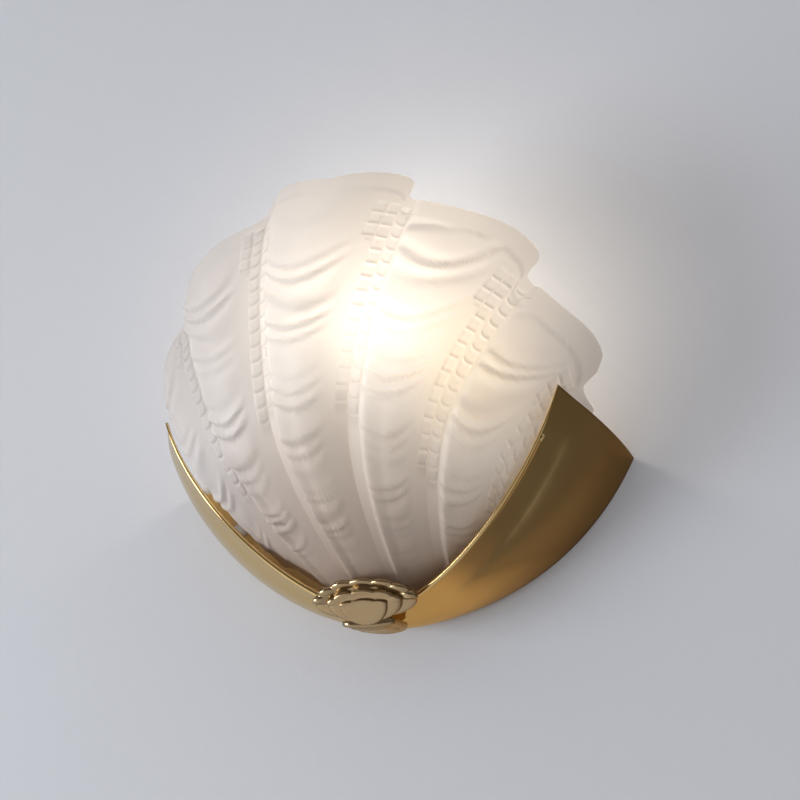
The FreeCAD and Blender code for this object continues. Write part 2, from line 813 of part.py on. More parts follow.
def pair(name, maker, x):
    """Two copies of a piece, at +x and -x, as one node."""
    return subpart(group(name, [maker(name + "_right", x), maker(name + "_left", "-" + x)]), name)


def make_bracket_fixings():
    """Studs screwed into the bracket, with washers and domed brass nuts over the back plate."""
    front = "-plate_depth - plate_thickness"

    def stud(name, x):
        return cylinder(name, "stud_radius", "stud_length", x, "-0.1", "0", OUTWARD)

    def washer(name, x):
        disc = cylinder(name + "_disc", "washer_radius", "washer_thickness", x, front, "0", OUTWARD)
        hole = cylinder(name + "_hole", "stud_radius + hole_clearance", "3 * plate_depth", x,
                        "0", "0", OUTWARD)
        return cut(name, disc, hole)

    def cap_nut(name, x):
        seat = front + " - washer_thickness"
        nut = hexagon(name + "_hex", "cap_nut_radius", "cap_nut_height", x, seat, "0", OUTWARD)
        dome = doc.addObject("Part::Sphere", name + "_dome")
        bind(dome, Radius="cap_nut_radius * 0.84")
        place(dome, x, seat + " - cap_nut_height", "0")
        hole = cylinder(name + "_hole", "stud_radius + 0.05", "stud_length + 0.1", x, "0", "0", OUTWARD)
        return cut(name, fuse(name + "_body", [nut, dome]), hole)

    pair("bracket_studs", stud, "stud_spacing / 2")
    pair("stud_washers", washer, "stud_spacing / 2")
    pair("cap_nuts", cap_nut, "stud_spacing / 2")


# ---------------------------------------------------------------- lamp bracket and lamp holder
def make_lamp_bracket():
    """Steel angle: a leg on the back plate and a shelf that carries the lamp holder."""
    body = new_body("lamp_bracket")
    leg = sketch_on(body, "leg_outline", "XZ_Plane")
    add_rectangle(leg, "shelf_width", "leg_height", "leg_height")
    pad(body, leg, "shelf_thickness", "leg_pad", False)
    shelf = sketch_on(body, "shelf_outline", "XZ_Plane")
    add_rectangle(shelf, "shelf_width", "shelf_thickness", "shelf_thickness")
    pad(body, shelf, "lamp_depth + shelf_nose - plate_depth - plate_thickness", "shelf_pad", False)
    doc.recompute()
    for name, side in (("right", ""), ("left", "-")):
        hole = sketch_on(body, "leg_hole_" + name, "XZ_Plane")
        add_circle(hole, "leg_screw_radius + hole_clearance", side + "leg_screw_spacing / 2",
                   "shelf_drop - leg_screw_drop")
        pocket_through(body, hole, "cut_leg_hole_" + name)
    hole = sketch_on(body, "nipple_hole", "XY_Plane")
    add_circle(hole, "nipple_radius + hole_clearance", None, "-lamp_depth + plate_depth + plate_thickness")
    pocket_through(body, hole, "cut_nipple_hole")
    place(body, "0", "-plate_depth - plate_thickness", "circle_height - shelf_drop")
    return subpart(body, "lamp_bracket")


def make_leg_fixings():
    """Two small screws through the leg and the back plate, with nuts behind."""
    z = "circle_height - leg_screw_drop"
    head_seat = "-plate_depth - plate_thickness - shelf_thickness"

    def screw(name, x):
        shank = cylinder(name + "_shank", "leg_screw_radius", "leg_screw_length", x,
                         head_seat + " + leg_screw_length", z, OUTWARD)
        head = cylinder(name + "_head", "2 * leg_screw_radius", "1.4 * leg_screw_radius", x, head_seat, z,
                        OUTWARD)
        return fuse(name, [shank, head])

    def nut(name, x):
        blank = hexagon(name + "_hex", "2 * leg_screw_radius", "1.6 * leg_screw_radius", x,
                        "-plate_depth + 1.6 * leg_screw_radius", z, OUTWARD)
        hole = cylinder(name + "_hole", "leg_screw_radius + 0.05", "3 * plate_depth", x, "0", z, OUTWARD)
        return cut(name, blank, hole)

    pair("leg_screws", screw, "leg_screw_spacing / 2")
    pair("leg_nuts", nut, "leg_screw_spacing / 2")


LAMP_Y = "-lamp_depth"
SHELF_Z = "circle_height - shelf_drop"
SOCKET_FLOOR = SHELF_Z + " + socket_stand"


def tube(name, outer, inner, height, z):
    """A round tube about the lamp's axis."""
    wall = cylinder(name + "_wall", outer, height, "0", LAMP_Y, z)
    hole = cylinder(name + "_bore", inner, height + " + 2", "0", LAMP_Y, z + " - 1")
    return cut(name, wall, hole)


def make_holder():
    """Lamp holder: threaded nipple and lock nut, cup, outer sleeve, screw shell and centre contact."""
    subpart(tube("holder_nipple", "nipple_radius", "nipple_bore", "nipple_length",
                 SHELF_Z + " - shelf_thickness - lock_nut_height - 2"), "holder_nipple")
    nut_z = SHELF_Z + " - shelf_thickness - lock_nut_height"
    blank = hexagon("lock_nut_hex", "lock_nut_radius", "lock_nut_height", "0", LAMP_Y, nut_z)
    hole = cylinder("lock_nut_bore", "nipple_radius + 0.05", "lock_nut_height + 2", "0", LAMP_Y,
                    nut_z + " - 1")
    subpart(cut("lock_nut", blank, hole), "lock_nut")
    cup = fuse("holder_cup_solid", [
        cone("holder_cup_foot", "holder_radius - 4", "holder_radius", "5", "0", LAMP_Y, SHELF_Z),
        cylinder("holder_cup_wall", "holder_radius", "holder_height - 5", "0", LAMP_Y, SHELF_Z + " + 5"),
    ])
    hollow = fuse("holder_cup_hollow", [
        cylinder("holder_cup_room", "holder_radius - holder_wall", "holder_height", "0", LAMP_Y,
                 SOCKET_FLOOR + " - contact_thickness"),
        cylinder("holder_cup_bore", "nipple_radius + 0.05", "holder_height", "0", LAMP_Y, SHELF_Z + " - 1"),
    ])
    subpart(cut("holder_cup", cup, hollow), "holder_cup")
    sleeve_z = SHELF_Z + " + holder_height + 0.2"
    subpart(tube("holder_sleeve", "sleeve_radius", "socket_bore + socket_wall + 0.3", "sleeve_height",
                 sleeve_z), "holder_sleeve")
    subpart(tube("screw_shell", "socket_bore + socket_wall", "socket_bore", "socket_length",
                 SOCKET_FLOOR), "screw_shell")
    subpart(cylinder("centre_contact", "contact_radius + nipple_radius / 2", "contact_thickness", "0",
                     LAMP_Y, SOCKET_FLOOR + " - contact_thickness"), "centre_contact")


# ---------------------------------------------------------------- the bulb
TIP_Z = SOCKET_FLOOR + " + 0.3"
CAP_Z = TIP_Z + " + tip_height + insulator_height"
COLLAR_Z = CAP_Z + " + cap_length"
DOME_Z = COLLAR_Z + " + collar_height"


def make_bulb():
    """LED bulb: contact tip, insulator, screw cap, collar, board and opal dome."""
    subpart(cylinder("bulb_tip", "tip_radius", "tip_height", "0", LAMP_Y, TIP_Z), "bulb_tip")
    subpart(cone("bulb_insulator", "tip_radius + 1", "cap_radius - 1.5", "insulator_height", "0", LAMP_Y,
                 TIP_Z + " + tip_height"), "bulb_insulator")
    subpart(computed("bulb_cap", threaded_cap()), "bulb_cap")
    collar = fuse("bulb_collar", [
        cone("collar_taper", "collar_foot_radius", "dome_radius * 0.9", "collar_height * 0.75", "0", LAMP_Y,
             COLLAR_Z),
        cylinder("collar_band", "dome_radius * 0.9", "collar_height * 0.25", "0", LAMP_Y,
                 COLLAR_Z + " + collar_height * 0.75"),
    ])
    subpart(collar, "bulb_collar")
    subpart(cylinder("led_board", "board_radius", "board_thickness", "0", LAMP_Y,
                     DOME_Z + " + board_gap"), "led_board")
    centre = DOME_Z + " + board_gap + dome_radius * sin(dome_skirt_angle)"
    outside = doc.addObject("Part::Sphere", "dome_outside")
    bind(outside, Radius="dome_radius", Angle1="-dome_skirt_angle")
    place(outside, "0", LAMP_Y, centre)
    inside = doc.addObject("Part::Sphere", "dome_inside")
    bind(inside, Radius="dome_radius - dome_wall")
    place(inside, "0", LAMP_Y, centre)
    subpart(cut("bulb_dome", outside, inside), "bulb_dome")


def threaded_cap():
    """The bulb's screw cap, turned with rounded rings for its thread."""
    radius = size("cap_radius")
    depth = size("cap_thread_depth")
    pitch = size("cap_thread_pitch")
    length = size("cap_length")
    z = cap_foot()
    y = -size("lamp_depth")
    edges = []
    start = V(radius - depth, y, z)
    edges.append(Part.LineSegment(V(0, y, z), start).toShape())
    turns = int((length - 2) / pitch)
    for _ in range(turns):
        end = start + V(0, 0, pitch)
        edges.append(Part.Arc(start, V(radius, y, start.z + pitch / 2), end).toShape())
        start = end
    top = V(radius - depth, y, z + length)
    if (top - start).Length > 0.01:
        edges.append(Part.LineSegment(start, top).toShape())
    edges.append(Part.LineSegment(top, V(0, y, z + length)).toShape())
    edges.append(Part.LineSegment(V(0, y, z + length), V(0, y, z)).toShape())
    return Part.Face(Part.Wire(edges)).revolve(V(0, y, 0), Z_AXIS, 360)


def cap_foot():
    """Height of the bulb cap's foot."""
    floor = size("circle_height") - size("shelf_drop") + size("socket_stand")
    return floor + 0.3 + size("tip_height") + size("insulator_height")


# ---------------------------------------------------------------- wiring
def make_terminal_block():
    """Three-way terminal block on the back plate, with its bores, screws and fixing screw."""
    body = new_body("terminal_block")
    outline = sketch_on(body, "block_outline", "XZ_Plane")
    add_rectangle(outline, "block_length", "block_height")
    pad(body, outline, "block_depth", "block_pad", False)
    doc.recompute()
    bores = sketch_on(body, "block_bores", "XY_Plane")
    for x in ("-terminal_spacing", None, "terminal_spacing"):
        add_circle(bores, "terminal_bore", x, "-block_depth / 2")
    pocket_through(body, bores, "cut_block_bores")
    screws = sketch_on(body, "block_screw_holes", "XZ_Plane")
    for x in ("-terminal_spacing", None, "terminal_spacing"):
        add_circle(screws, "terminal_screw_radius + hole_clearance", x, "block_height / 4")
        add_circle(screws, "terminal_screw_radius + hole_clearance", x, "-block_height / 4")
    add_circle(screws, "terminal_screw_radius + hole_clearance", "terminal_spacing / 2")
    pocket_through(body, screws, "cut_block_screw_holes")
    place(body, "block_side", "-plate_depth - plate_thickness", "circle_height - block_drop")
    subpart(body, "terminal_block")
    screws = []
    for i in (-1, 0, 1):
        for j in (-1, 1):
            screws.append(cylinder(
                "terminal_screw", "terminal_screw_radius", "terminal_screw_length",
                "block_side + %d * terminal_spacing" % i,
                "-plate_depth - plate_thickness - block_depth + terminal_screw_length",
                "circle_height - block_drop + %d * block_height / 4" % j, OUTWARD))
    subpart(group("terminal_screws", screws), "terminal_screws")
    seat = "-plate_depth - plate_thickness - block_depth"
    x = "block_side + terminal_spacing / 2"
    z = "circle_height - block_drop"
    shank = cylinder("block_screw_shank", "terminal_screw_radius", "block_depth + plate_thickness + 3", x,
                     seat + " + block_depth + plate_thickness + 3", z, OUTWARD)
    head = cylinder("block_screw_head", "terminal_screw_radius * 1.7", "1.6", x, seat, z, OUTWARD)
    subpart(fuse("block_screw", [shank, head]), "block_screw")


def make_earth_screw():
    """Brass earth screw in the back plate, left of the cable hole."""
    z = "circle_height - earth_drop"
    seat = "-plate_depth - plate_thickness - 2 * wire_radius - 0.4"
    length = "earth_screw_length + 2 * wire_radius"
    shank = cylinder("earth_shank", "earth_screw_radius", length, "-earth_side",
                     seat + " + 2 * wire_radius + earth_screw_length", z, OUTWARD)
    head = cylinder("earth_head", "earth_head_radius", "earth_head_height", "-earth_side", seat, z, OUTWARD)
    subpart(fuse("earth_screw", [shank, head]), "earth_screw")


def routed_wire(label, points):
    """A round wire along straight runs joined by tangent arcs as large as the runs allow."""
    radius = size("wire_radius")
    edges = []
    here = points[0]
    length = 0
    for before, corner, after in zip(points, points[1:], points[2:]):
        arrive = (corner - before).normalize()
        leave = (after - corner).normalize()
        turn = arrive.getAngle(leave)
        trim = 0.45 * min((corner - before).Length, (after - corner).Length)
        bend = trim / math.tan(turn / 2)
        start = corner - arrive * trim
        end = corner + leave * trim
        inward = (leave - arrive).normalize()
        centre = corner + inward * (bend / math.cos(turn / 2))
        edges.append(Part.LineSegment(here, start).toShape())
        edges.append(Part.Arc(start, centre - inward * bend, end).toShape())
        length += (start - here).Length + bend * turn
        print("%s bend radius %.1f mm" % (label, bend))
        here = end
    edges.append(Part.LineSegment(here, points[-1]).toShape())
    length += (points[-1] - here).Length
    path = Part.Wire(edges)
    ring = Part.Wire([Part.makeCircle(radius, points[0], points[1] - points[0])])
    tube_shape = path.makePipeShell([ring], True, False)
    ideal = math.pi * radius * radius * length
    print("%s length %.1f mm, volume / ideal %.4f" % (label, length, tube_shape.Volume / ideal))
    return subpart(computed(label, tube_shape), label)


def make_wires():
    """Live and neutral from the block to the holder's nipple, and earth to its screw."""
    plate_front = size("plate_depth") + size("plate_thickness")
    block_z = size("circle_height") - size("block_drop")
    top_z = block_z + size("block_height") / 2
    bore_y = -plate_front - size("block_depth") / 2
    nipple_z = (size("circle_height") - size("shelf_drop") - size("shelf_thickness")
                - size("lock_nut_height") - 2)
    lamp_y = -size("lamp_depth")
    for label, column, offset in (("live_wire", 0, 1.5), ("neutral_wire", -1, -1.5)):
        x = size("block_side") + column * size("terminal_spacing")
        # out of the block's top, over to the axis, and up into the nipple
        routed_wire(label, [
            V(x, bore_y, top_z - 4),
            V(x, bore_y, top_z + 5),
            V(x * 0.62, bore_y - 8, top_z + 7 + 3 * column),
            V(offset * 2.5, lamp_y + 8, nipple_z - 12),
            V(offset, lamp_y, nipple_z - 4),
            V(offset, lamp_y, nipple_z + 9),
        ])
    x = size("block_side") - size("terminal_spacing")
    low_z = block_z - size("block_height") / 2
    earth = V(-size("earth_side"), -plate_front - size("wire_radius") - 0.2,
              size("circle_height") - size("earth_drop"))
    # out of the block's underside, under the grommet and up to the earth screw
    routed_wire("earth_wire", [
        V(x, bore_y, low_z + 4),
        V(x, bore_y, low_z - 5),
        V(x * 0.5, bore_y, low_z - 11),
        V(-size("earth_side") * 0.45, bore_y + 1.5, low_z - 8),
        V(earth.x + 3, earth.y, earth.z - 12),
        V(earth.x + size("earth_screw_radius") + size("wire_radius") + 0.2, earth.y, earth.z + 1),
    ])


# ---------------------------------------------------------------- the boss
# half width, height above the hinge line, drop below it (as shares of the boss's half width), scallops
TIERS = [
    (1.0, 0.44, 0.33, 7),
    (0.72, 0.24, 0.38, 5),
    (0.46, 0.08, 0.41, 3),
]
TIER_WAVE = 0.048             # how far the scallops stand out, as a share of the boss's half width


def boss_place(across, up, out):
    """Point in the boss's own leaning plane."""
    lean = math.radians(size("boss_lean"))
    rise = V(0, -math.sin(lean), math.cos(lean))
    face = V(0, -math.cos(lean), -math.sin(lean))
    centre = V(0, -boss_depth(), -boss_drop())
    return centre + X_AXIS * across + rise * up + face * out


def boss_drop():
    """Drop of the boss's centre below the circle's centre."""
    return size("front_low_drop") - size("boss_rise")


def boss_depth():
    """Depth of the boss's centre, which keeps its leaning crown in front of the bowl."""
    lean = math.radians(size("boss_lean"))
    crown = size("boss_half_width") * (TIERS[0][1] + TIER_WAVE)
    crown_drop = boss_drop() - crown * math.cos(lean)
    return bowl_radii(crown_drop)[1] + size("boss_gap") - crown * math.sin(lean)


def scalloped_outline(half_width, height, low, scallops, wave, out):
    """Closed outline: a fan edge of round scallops above a smooth rounded lower edge."""
    edges = []
    start = None
    for i in range(scallops + 1):
        angle = math.pi * i / scallops
        point = boss_place(half_width * math.cos(angle), height * math.sin(angle), out)
        if start is not None:
            middle = math.pi * (i - 0.5) / scallops
            peak = boss_place((half_width + wave) * math.cos(middle), (height + wave) * math.sin(middle), out)
            edges.append(Part.Arc(start, peak, point).toShape())
        start = point
    bottom = boss_place(0, -low, out)
    first = boss_place(half_width, 0, out)
    edges.append(Part.Arc(start, bottom, first).toShape())
    return Part.Wire(edges)


def make_boss():
    """Cast brass boss: three shell-shaped tiers over a foot that hooks under the cradle."""
    tier = size("boss_tier")
    half = size("boss_half_width")
    face = boss_place(0, 0, 1) - boss_place(0, 0, 0)
    tiers = []
    for step, (width, height, low, scallops) in enumerate(TIERS):
        wave = half * TIER_WAVE * (1 - 0.2 * step)
        outline = scalloped_outline(half * width, half * height, half * low, scallops, wave,
                                    (step - 0.5) * tier)
        tiers.append(Part.Face(outline).extrude(face * (tier * 1.13)))
    body = tiers[0]
    for piece in tiers[1:] + [boss_foot()]:
        body = body.fuse(piece)
    body = body.removeSplitter()
    body = body.cut(stud_blank(size("boss_stud_radius") + 0.05))
    boss = computed("shell_boss", body)
    boss.Placement = lift()
    subpart(boss, "shell_boss")
    stud = computed("boss_stud", stud_blank(size("boss_stud_radius")))
    stud.Placement = lift()
    subpart(stud, "boss_stud")


def floor_share(depth):
    """How far from the wall edge to the crease the seam reaches a depth."""
    low, high = 0.0, 1.0
    for _ in range(40):
        middle = (low + high) / 2
        if -cheek_point(0, middle, 0).y < depth:
            low = middle
        else:
            high = middle
    return low


def floor_drop(depth):
    """Drop of the cradle's underside at the seam, at a depth from the wall."""
    share = floor_share(depth)
    if share < 0.999:
        return -cheek_point(0, share, 0).z
    _, _, crease, front = cheek_section(0, 0)
    part = (depth + crease.y) / (crease.y - front.y)
    return -(crease.z + (front.z - crease.z) * part)


def boss_foot():
    """Foot under the cradle's floor: a tongue with a round back end, from behind the stud to the tiers."""
    half = size("foot_half_width")
    clear = 0.3
    deepest = max(floor_drop(d) for d in (size("foot_back_depth"), size("boss_stud_depth"),
                                          size("front_low_depth") - 1))
    top = -deepest - clear
    back = -size("foot_back_depth")
    front = -boss_depth() + size("boss_tier")
    thick = size("foot_thickness")
    profile = Part.makePolygon([V(0, back, top), V(0, front, top), V(0, front, top - thick),
                                V(0, back - 4, top - thick), V(0, back, top - thick + 2.5),
                                V(0, back, top)])
    foot = Part.Face(profile).extrude(V(2 * half, 0, 0))
    foot.translate(V(-half, 0, 0))
    sag = Part.makeCylinder(half * 6, -2 * front, V(0, 0, top - thick + half * 6), V(0, -1, 0))
    tongue = Part.makeCylinder(half, 2 * thick, V(0, back - half, top - 1.5 * thick), Z_AXIS)
    middle = Part.makeBox(2 * half, back - half - front, 2 * thick, V(-half, front, top - 1.5 * thick))
    tongue = tongue.fuse(middle)
    return foot.common(sag).common(tongue)


def stud_blank(radius):
    """The stud's cylinder: from inside the foot, up through the cradle's floor."""
    depth = size("boss_stud_depth")
    base = V(0, -depth, -floor_drop(depth) - size("foot_thickness") + 1)
    return Part.makeCylinder(radius, size("boss_stud_length"), base, Z_AXIS)


def make_boss_nut():
    """Nut inside the cradle on the boss's stud, over a saddle plate across the seam."""
    depth = size("boss_stud_depth")
    half = size("saddle_half_length")
    over_floor = size("cheek_thickness") + size("saddle_clearance")
    stations = [depth - half, depth, depth + half]
    under = [V(-half, -d, over_floor - floor_drop(d)) for d in stations]
    inside = max(point.z for point in under)
    top = [V(-half, -d, inside + 1.2) for d in reversed(stations)]
    profile = Part.makePolygon(under + top + under[:1])
    saddle = Part.Face(profile).extrude(V(2 * half, 0, 0))
    plate = computed("seam_saddle", saddle.cut(stud_blank(size("boss_stud_radius") + 0.2)))
    plate.Placement = lift()
    subpart(plate, "seam_saddle")
    corners = []
    for i in range(7):
        turn = math.radians(60 * i)
        corners.append(V(4 * math.cos(turn), -depth + 4 * math.sin(turn), inside + 1.2))
    nut = Part.Face(Part.makePolygon(corners)).extrude(V(0, 0, 3.2))
    nut = computed("boss_nut", nut.cut(stud_blank(size("boss_stud_radius") + 0.05)))
    nut.Placement = lift()
    subpart(nut, "boss_nut")


# ---------------------------------------------------------------- build, check and write
right_cheek = make_cheeks()
glass_shade = make_glass()
doc.recompute()
make_pads(glass_shade)
make_back_plate()
make_grommet()
make_wall_bracket()
make_bracket_fixings()
make_lamp_bracket()
make_leg_fixings()
make_holder()
make_bulb()
make_terminal_block()
make_earth_screw()
make_wires()
make_boss()
make_boss_nut()
doc.recompute()

for obj in doc.Objects:
    if "Invalid" in obj.State or "Error" in obj.State:
        raise RuntimeError("%s is in state %s" % (obj.Label, obj.State))
for obj in SUBPARTS:
    if obj.Shape.isNull() or not obj.Shape.isValid():
        raise RuntimeError(obj.Label + " has no valid shape")

os.makedirs("parts", exist_ok=True)
for obj in SUBPARTS:
    obj.Shape.exportStep("parts/%s.step" % obj.Label)
    print("%-16s %2d solids %10.0f mm3" % (obj.Label, len(obj.Shape.Solids), obj.Shape.Volume))
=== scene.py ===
# %% [markdown]
# # A shell wall light, step by step
#
# A pressed glass clam-shell bowl stands in a brass cradle on a wall. The engineering model gives every
# piece its place. This lesson gives the pieces that the eye sees a finer surface, by formulas: the bowl's
# lobes, draped folds and small raised bricks, the cradle's sheet metal with its rounded edge, the cast
# ornament, and the turned shapes of bulb and holder.
#
# The frame is in metres: the wall is the plane y = 0, the room is on the -Y side, and +Z is up. Shapes
# are worked out in millimetres about the centre of the circle that the cradle's wall edge lies on, then
# moved into the frame by `to_frame`.

# %% Load the engineering model
import math

import bmesh
import bpy
import numpy as np
from mathutils import Matrix, Vector


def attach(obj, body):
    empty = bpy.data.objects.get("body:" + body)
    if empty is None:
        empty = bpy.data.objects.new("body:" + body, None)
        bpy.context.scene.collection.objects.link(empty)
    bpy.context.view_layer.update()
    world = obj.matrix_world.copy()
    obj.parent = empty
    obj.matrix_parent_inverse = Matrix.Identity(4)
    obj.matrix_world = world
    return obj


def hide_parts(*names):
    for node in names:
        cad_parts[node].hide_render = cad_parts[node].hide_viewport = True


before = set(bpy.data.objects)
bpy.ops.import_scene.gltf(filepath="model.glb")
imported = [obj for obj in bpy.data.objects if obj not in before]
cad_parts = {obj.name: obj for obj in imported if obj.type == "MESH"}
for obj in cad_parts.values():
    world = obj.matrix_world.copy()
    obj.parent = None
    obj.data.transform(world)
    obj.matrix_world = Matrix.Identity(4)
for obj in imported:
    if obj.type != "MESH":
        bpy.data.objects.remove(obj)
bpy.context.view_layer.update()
print("pieces in the engineering model:", len(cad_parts))

# %% [markdown]
# ## Small tools
#
# Every new surface is a grid of points: rows run one way and columns the other. A closed ring of rows
# makes a tube or a shell with thickness.

# %% Grid tools
CIRCLE_HEIGHT = 100.0


def to_frame(points):
    """Millimetres about the circle's centre as metres in the frame: the height added, over 1000."""
    return (np.asarray(points, float) + [0.0, 0.0, CIRCLE_HEIGHT]) / 1000.0


def grid_quads(rows, cols, wrap_rows=False, wrap_cols=False):
    """Corner numbers of a grid's quads; a wrapped direction joins its last line to its first."""
    r = np.arange(rows if wrap_rows else rows - 1)
    c = np.arange(cols if wrap_cols else cols - 1)
    r, c = np.meshgrid(r, c, indexing="ij")
    r2, c2 = (r + 1) % rows, (c + 1) % cols
    return np.stack([r * cols + c, r * cols + c2, r2 * cols + c2, r2 * cols + c], -1).reshape(-1, 4)


def new_mesh(name, points, quads, attributes=None, caps=None):
    """A smooth-shaded mesh object from points in metres, with float attributes on its points."""
    mesh = bpy.data.meshes.new(name)
    faces = np.asarray(quads).tolist() + ([] if caps is None else np.asarray(caps).tolist())
    mesh.from_pydata(np.asarray(points).reshape(-1, 3).tolist(), [], faces)
    mesh.polygons.foreach_set("use_smooth", np.ones(len(mesh.polygons), bool))
    for key, values in (attributes or {}).items():
        layer = mesh.attributes.new(key, "FLOAT", "POINT")
        layer.data.foreach_set("value", np.asarray(values, np.float32).ravel())
    mesh.update()
    obj = bpy.data.objects.new(name, mesh)
    bpy.context.collection.objects.link(obj)
    return obj


def end_caps(rows, cols):
    """Two polygons that close the first and the last ring of a grid with wrapped columns."""
    return np.stack([np.arange(cols)[::-1], (rows - 1) * cols + np.arange(cols)])


def lathe(name, profile, axis_xy, steps=72, waves=None):
    """Turns a profile of (radius, height) in millimetres about an upright axis; waves adds to the radius.

    A profile that starts at the axis is capped there; any other closes on itself.
    """
    profile = np.asarray(profile, float)
    turn = np.linspace(0, 2 * np.pi, steps, endpoint=False)
    radius = profile[:, 0][:, None] + (0 if waves is None else waves(profile, turn))
    x = axis_xy[0] + radius * np.cos(turn)
    y = axis_xy[1] + radius * np.sin(turn)
    z = np.repeat(profile[:, 1][:, None], steps, 1)
    points = np.stack([x, y, z], -1) / 1000.0
    solid = profile[0, 0] < 0.1
    quads = grid_quads(len(profile), steps, wrap_rows=not solid, wrap_cols=True)
    return new_mesh(name, points, quads, caps=end_caps(len(profile), steps) if solid else None)


def smooth(x):
    """Smooth step from 0 to 1."""
    x = np.clip(x, 0, 1)
    return x * x * (3 - 2 * x)


def unit(vectors):
    """Vectors scaled to length 1."""
    return vectors / np.linalg.norm(vectors, axis=-1, keepdims=True)


# %% [markdown]
# ## The cradle's formulas
#
# Each cheek is swept between two curves: an arc on the wall, and one cubic curve for the front edge.
# Across, it swells a little and has a crease that sets off a strip along the front edge.

# %% Cradle formulas
WALL_RADIUS = 167.0
TIP_ANGLE = 26.0
FRONT_POINTS = np.array([[0, -49, -162], [39.5, -49, -162], [108.5, -81, -103.5], [129, -80.5, -43.5]])
STRIP_WIDTH = 19.0
CREASE_STAND = 3.2
CHEEK_BULGE = 4.5
CHEEK_THICKNESS = 1.2


def wall_edge(s):
    """Wall edge of the right cheek from the bottom, 0, to the tip, 1."""
    angle = np.radians(-90 + (90 - TIP_ANGLE) * s)
    return np.stack([WALL_RADIUS * np.cos(angle), 0 * s, WALL_RADIUS * np.sin(angle)], -1)


def front_edge(s):
    """Front edge: the cubic Bezier curve over FRONT_POINTS."""
    s = np.asarray(s)[..., None]
    p = FRONT_POINTS
    return p[0] * (1 - s) ** 3 + 3 * p[1] * s * (1 - s) ** 2 + 3 * p[2] * s * s * (1 - s) + p[3] * s ** 3


def cheek_normal(s):
    """Outward direction of the cheek, square to its chord from wall edge to front edge."""
    low, high = np.clip(s - 1e-3, 0, 1), np.clip(s + 1e-3, 0, 1)
    along = wall_edge(high) + front_edge(high) - wall_edge(low) - front_edge(low)
    along = np.where((s == 0)[..., None], np.array([1.0, 0, 0]), along)
    normal = unit(np.cross(along, front_edge(s) - wall_edge(s)))
    return normal * np.where(normal[..., 2:] > 0, -1.0, 1.0)


def arc_through(a, b, c, t):
    """Points at shares t of the circular arc from a through b to c."""
    ab, ac = b - a, c - a
    cross = np.cross(ab, ac)
    square = (cross ** 2).sum(-1, keepdims=True)
    ab2 = (ab ** 2).sum(-1, keepdims=True)
    ac2 = (ac ** 2).sum(-1, keepdims=True)
    centre = a + (np.cross(cross, ab) * ac2 + np.cross(ac, cross) * ab2) / (2 * square)
    x = a - centre
    radius = np.linalg.norm(x, axis=-1, keepdims=True)
    x = x / radius
    y = np.cross(unit(cross), x)
    to_end = c - centre
    sweep = np.arctan2((to_end * y).sum(-1), (to_end * x).sum(-1)) % (2 * np.pi)
    angle = sweep[..., None] * t
    return centre + radius * (x * np.cos(angle) + y * np.sin(angle))


def cheek_section(s, inset):
    """Wall, middle, crease and front points of the section at s, moved inward by inset."""
    wall, front, normal = wall_edge(s), front_edge(s), cheek_normal(s)
    chord = front - wall
    length = np.linalg.norm(chord, axis=-1, keepdims=True)
    crease = front - chord * (STRIP_WIDTH / length) + normal * CREASE_STAND
    middle = (wall + crease) * 0.5 + normal * CHEEK_BULGE
    foot = wall - normal * inset
    foot = foot - chord * (foot[..., 1:2] / chord[..., 1:2])
    return foot, middle - normal * inset, crease - normal * inset, front - normal * inset


def cheek_face(s, t, inset):
    """Broad face at t from the wall edge, 0, to the crease, 1."""
    wall, middle, crease, _ = cheek_section(s, inset)
    return arc_through(wall, middle, crease, np.asarray(t)[..., None])


def cradle_samples():
    """Points of the cheek's inner face, each with its normal, and the way past the front edge at it."""
    points, beyond = [], []
    s = np.linspace(0, 1, 61)
    normal = cheek_normal(s)
    past = unit(front_edge(s) - wall_edge(s))
    for t in np.linspace(0.15, 0.95, 9):
        points.append(cheek_face(s, np.full_like(s, t), CHEEK_THICKNESS))
        beyond.append(past * 0)
    _, _, crease, front = cheek_section(s, CHEEK_THICKNESS)
    for t in (0, 0.25, 0.5, 0.75, 1.0):
        points.append(crease + (front - crease) * t)
        beyond.append(past * (t == 1.0))
    return [np.concatenate(part) for part in (points, [normal] * len(points), beyond)]


# %% [markdown]
# ## The bowl's formulas
#
# The valleys between the lobes lie on an egg-shaped surface. Seven ribs fan out over it from a line
# below the light. `u` counts lobes from the middle and `v` runs from the base to the rim. A lobe swells
# out of its valleys with a cosine. Where the bowl stands in the cradle it is kept a set gap inside it.

# %% Bowl formulas
SIDE = 3.5
SIDE_ANGLE = 34.7
FAN_DROP = 253.0
FAN_SPREAD = 0.38
RIM_OPENING = 0.085
CROWN = 88.0
RIM_FALL = 0.137
RIM_STEP = 26.0
BASE_DROP = 158.0
BASE_SIDE_RISE = 36.0
LOBE_HEIGHT = 13.0
SIDE_LOBE_HEIGHT = 7.5
GLASS_THICKNESS = 4.0
GLASS_BACK = 40.0
CRADLE_GAP = 3.2
# half outlines of the egg: reach, its widest level, height below and above that, and the taper's powers
FRONT_EGG = (147.5, 12.0, 160.0, 167.0, 1.8, 0.8)
SIDE_EGG = (150.0, 47.0, 151.0, 191.0, 2.2, 1.67)


def egg(drop, reach, widest, low, high, p, k):
    """Reach of an egg outline at a drop: a power taper below its widest level, an ellipse above it."""
    below = 1 - (np.maximum(drop - widest, 0) / low) ** p
    above = 1 - (np.maximum(widest - drop, 0) / high) ** 2
    return reach * np.where(drop > widest, np.maximum(below, 1e-6) ** k, np.sqrt(np.maximum(above, 0)))


def fan_angle(u):
    """Lean of the rib at u, in degrees."""
    return SIDE_ANGLE * np.tanh(FAN_SPREAD * u) / np.tanh(FAN_SPREAD * SIDE)


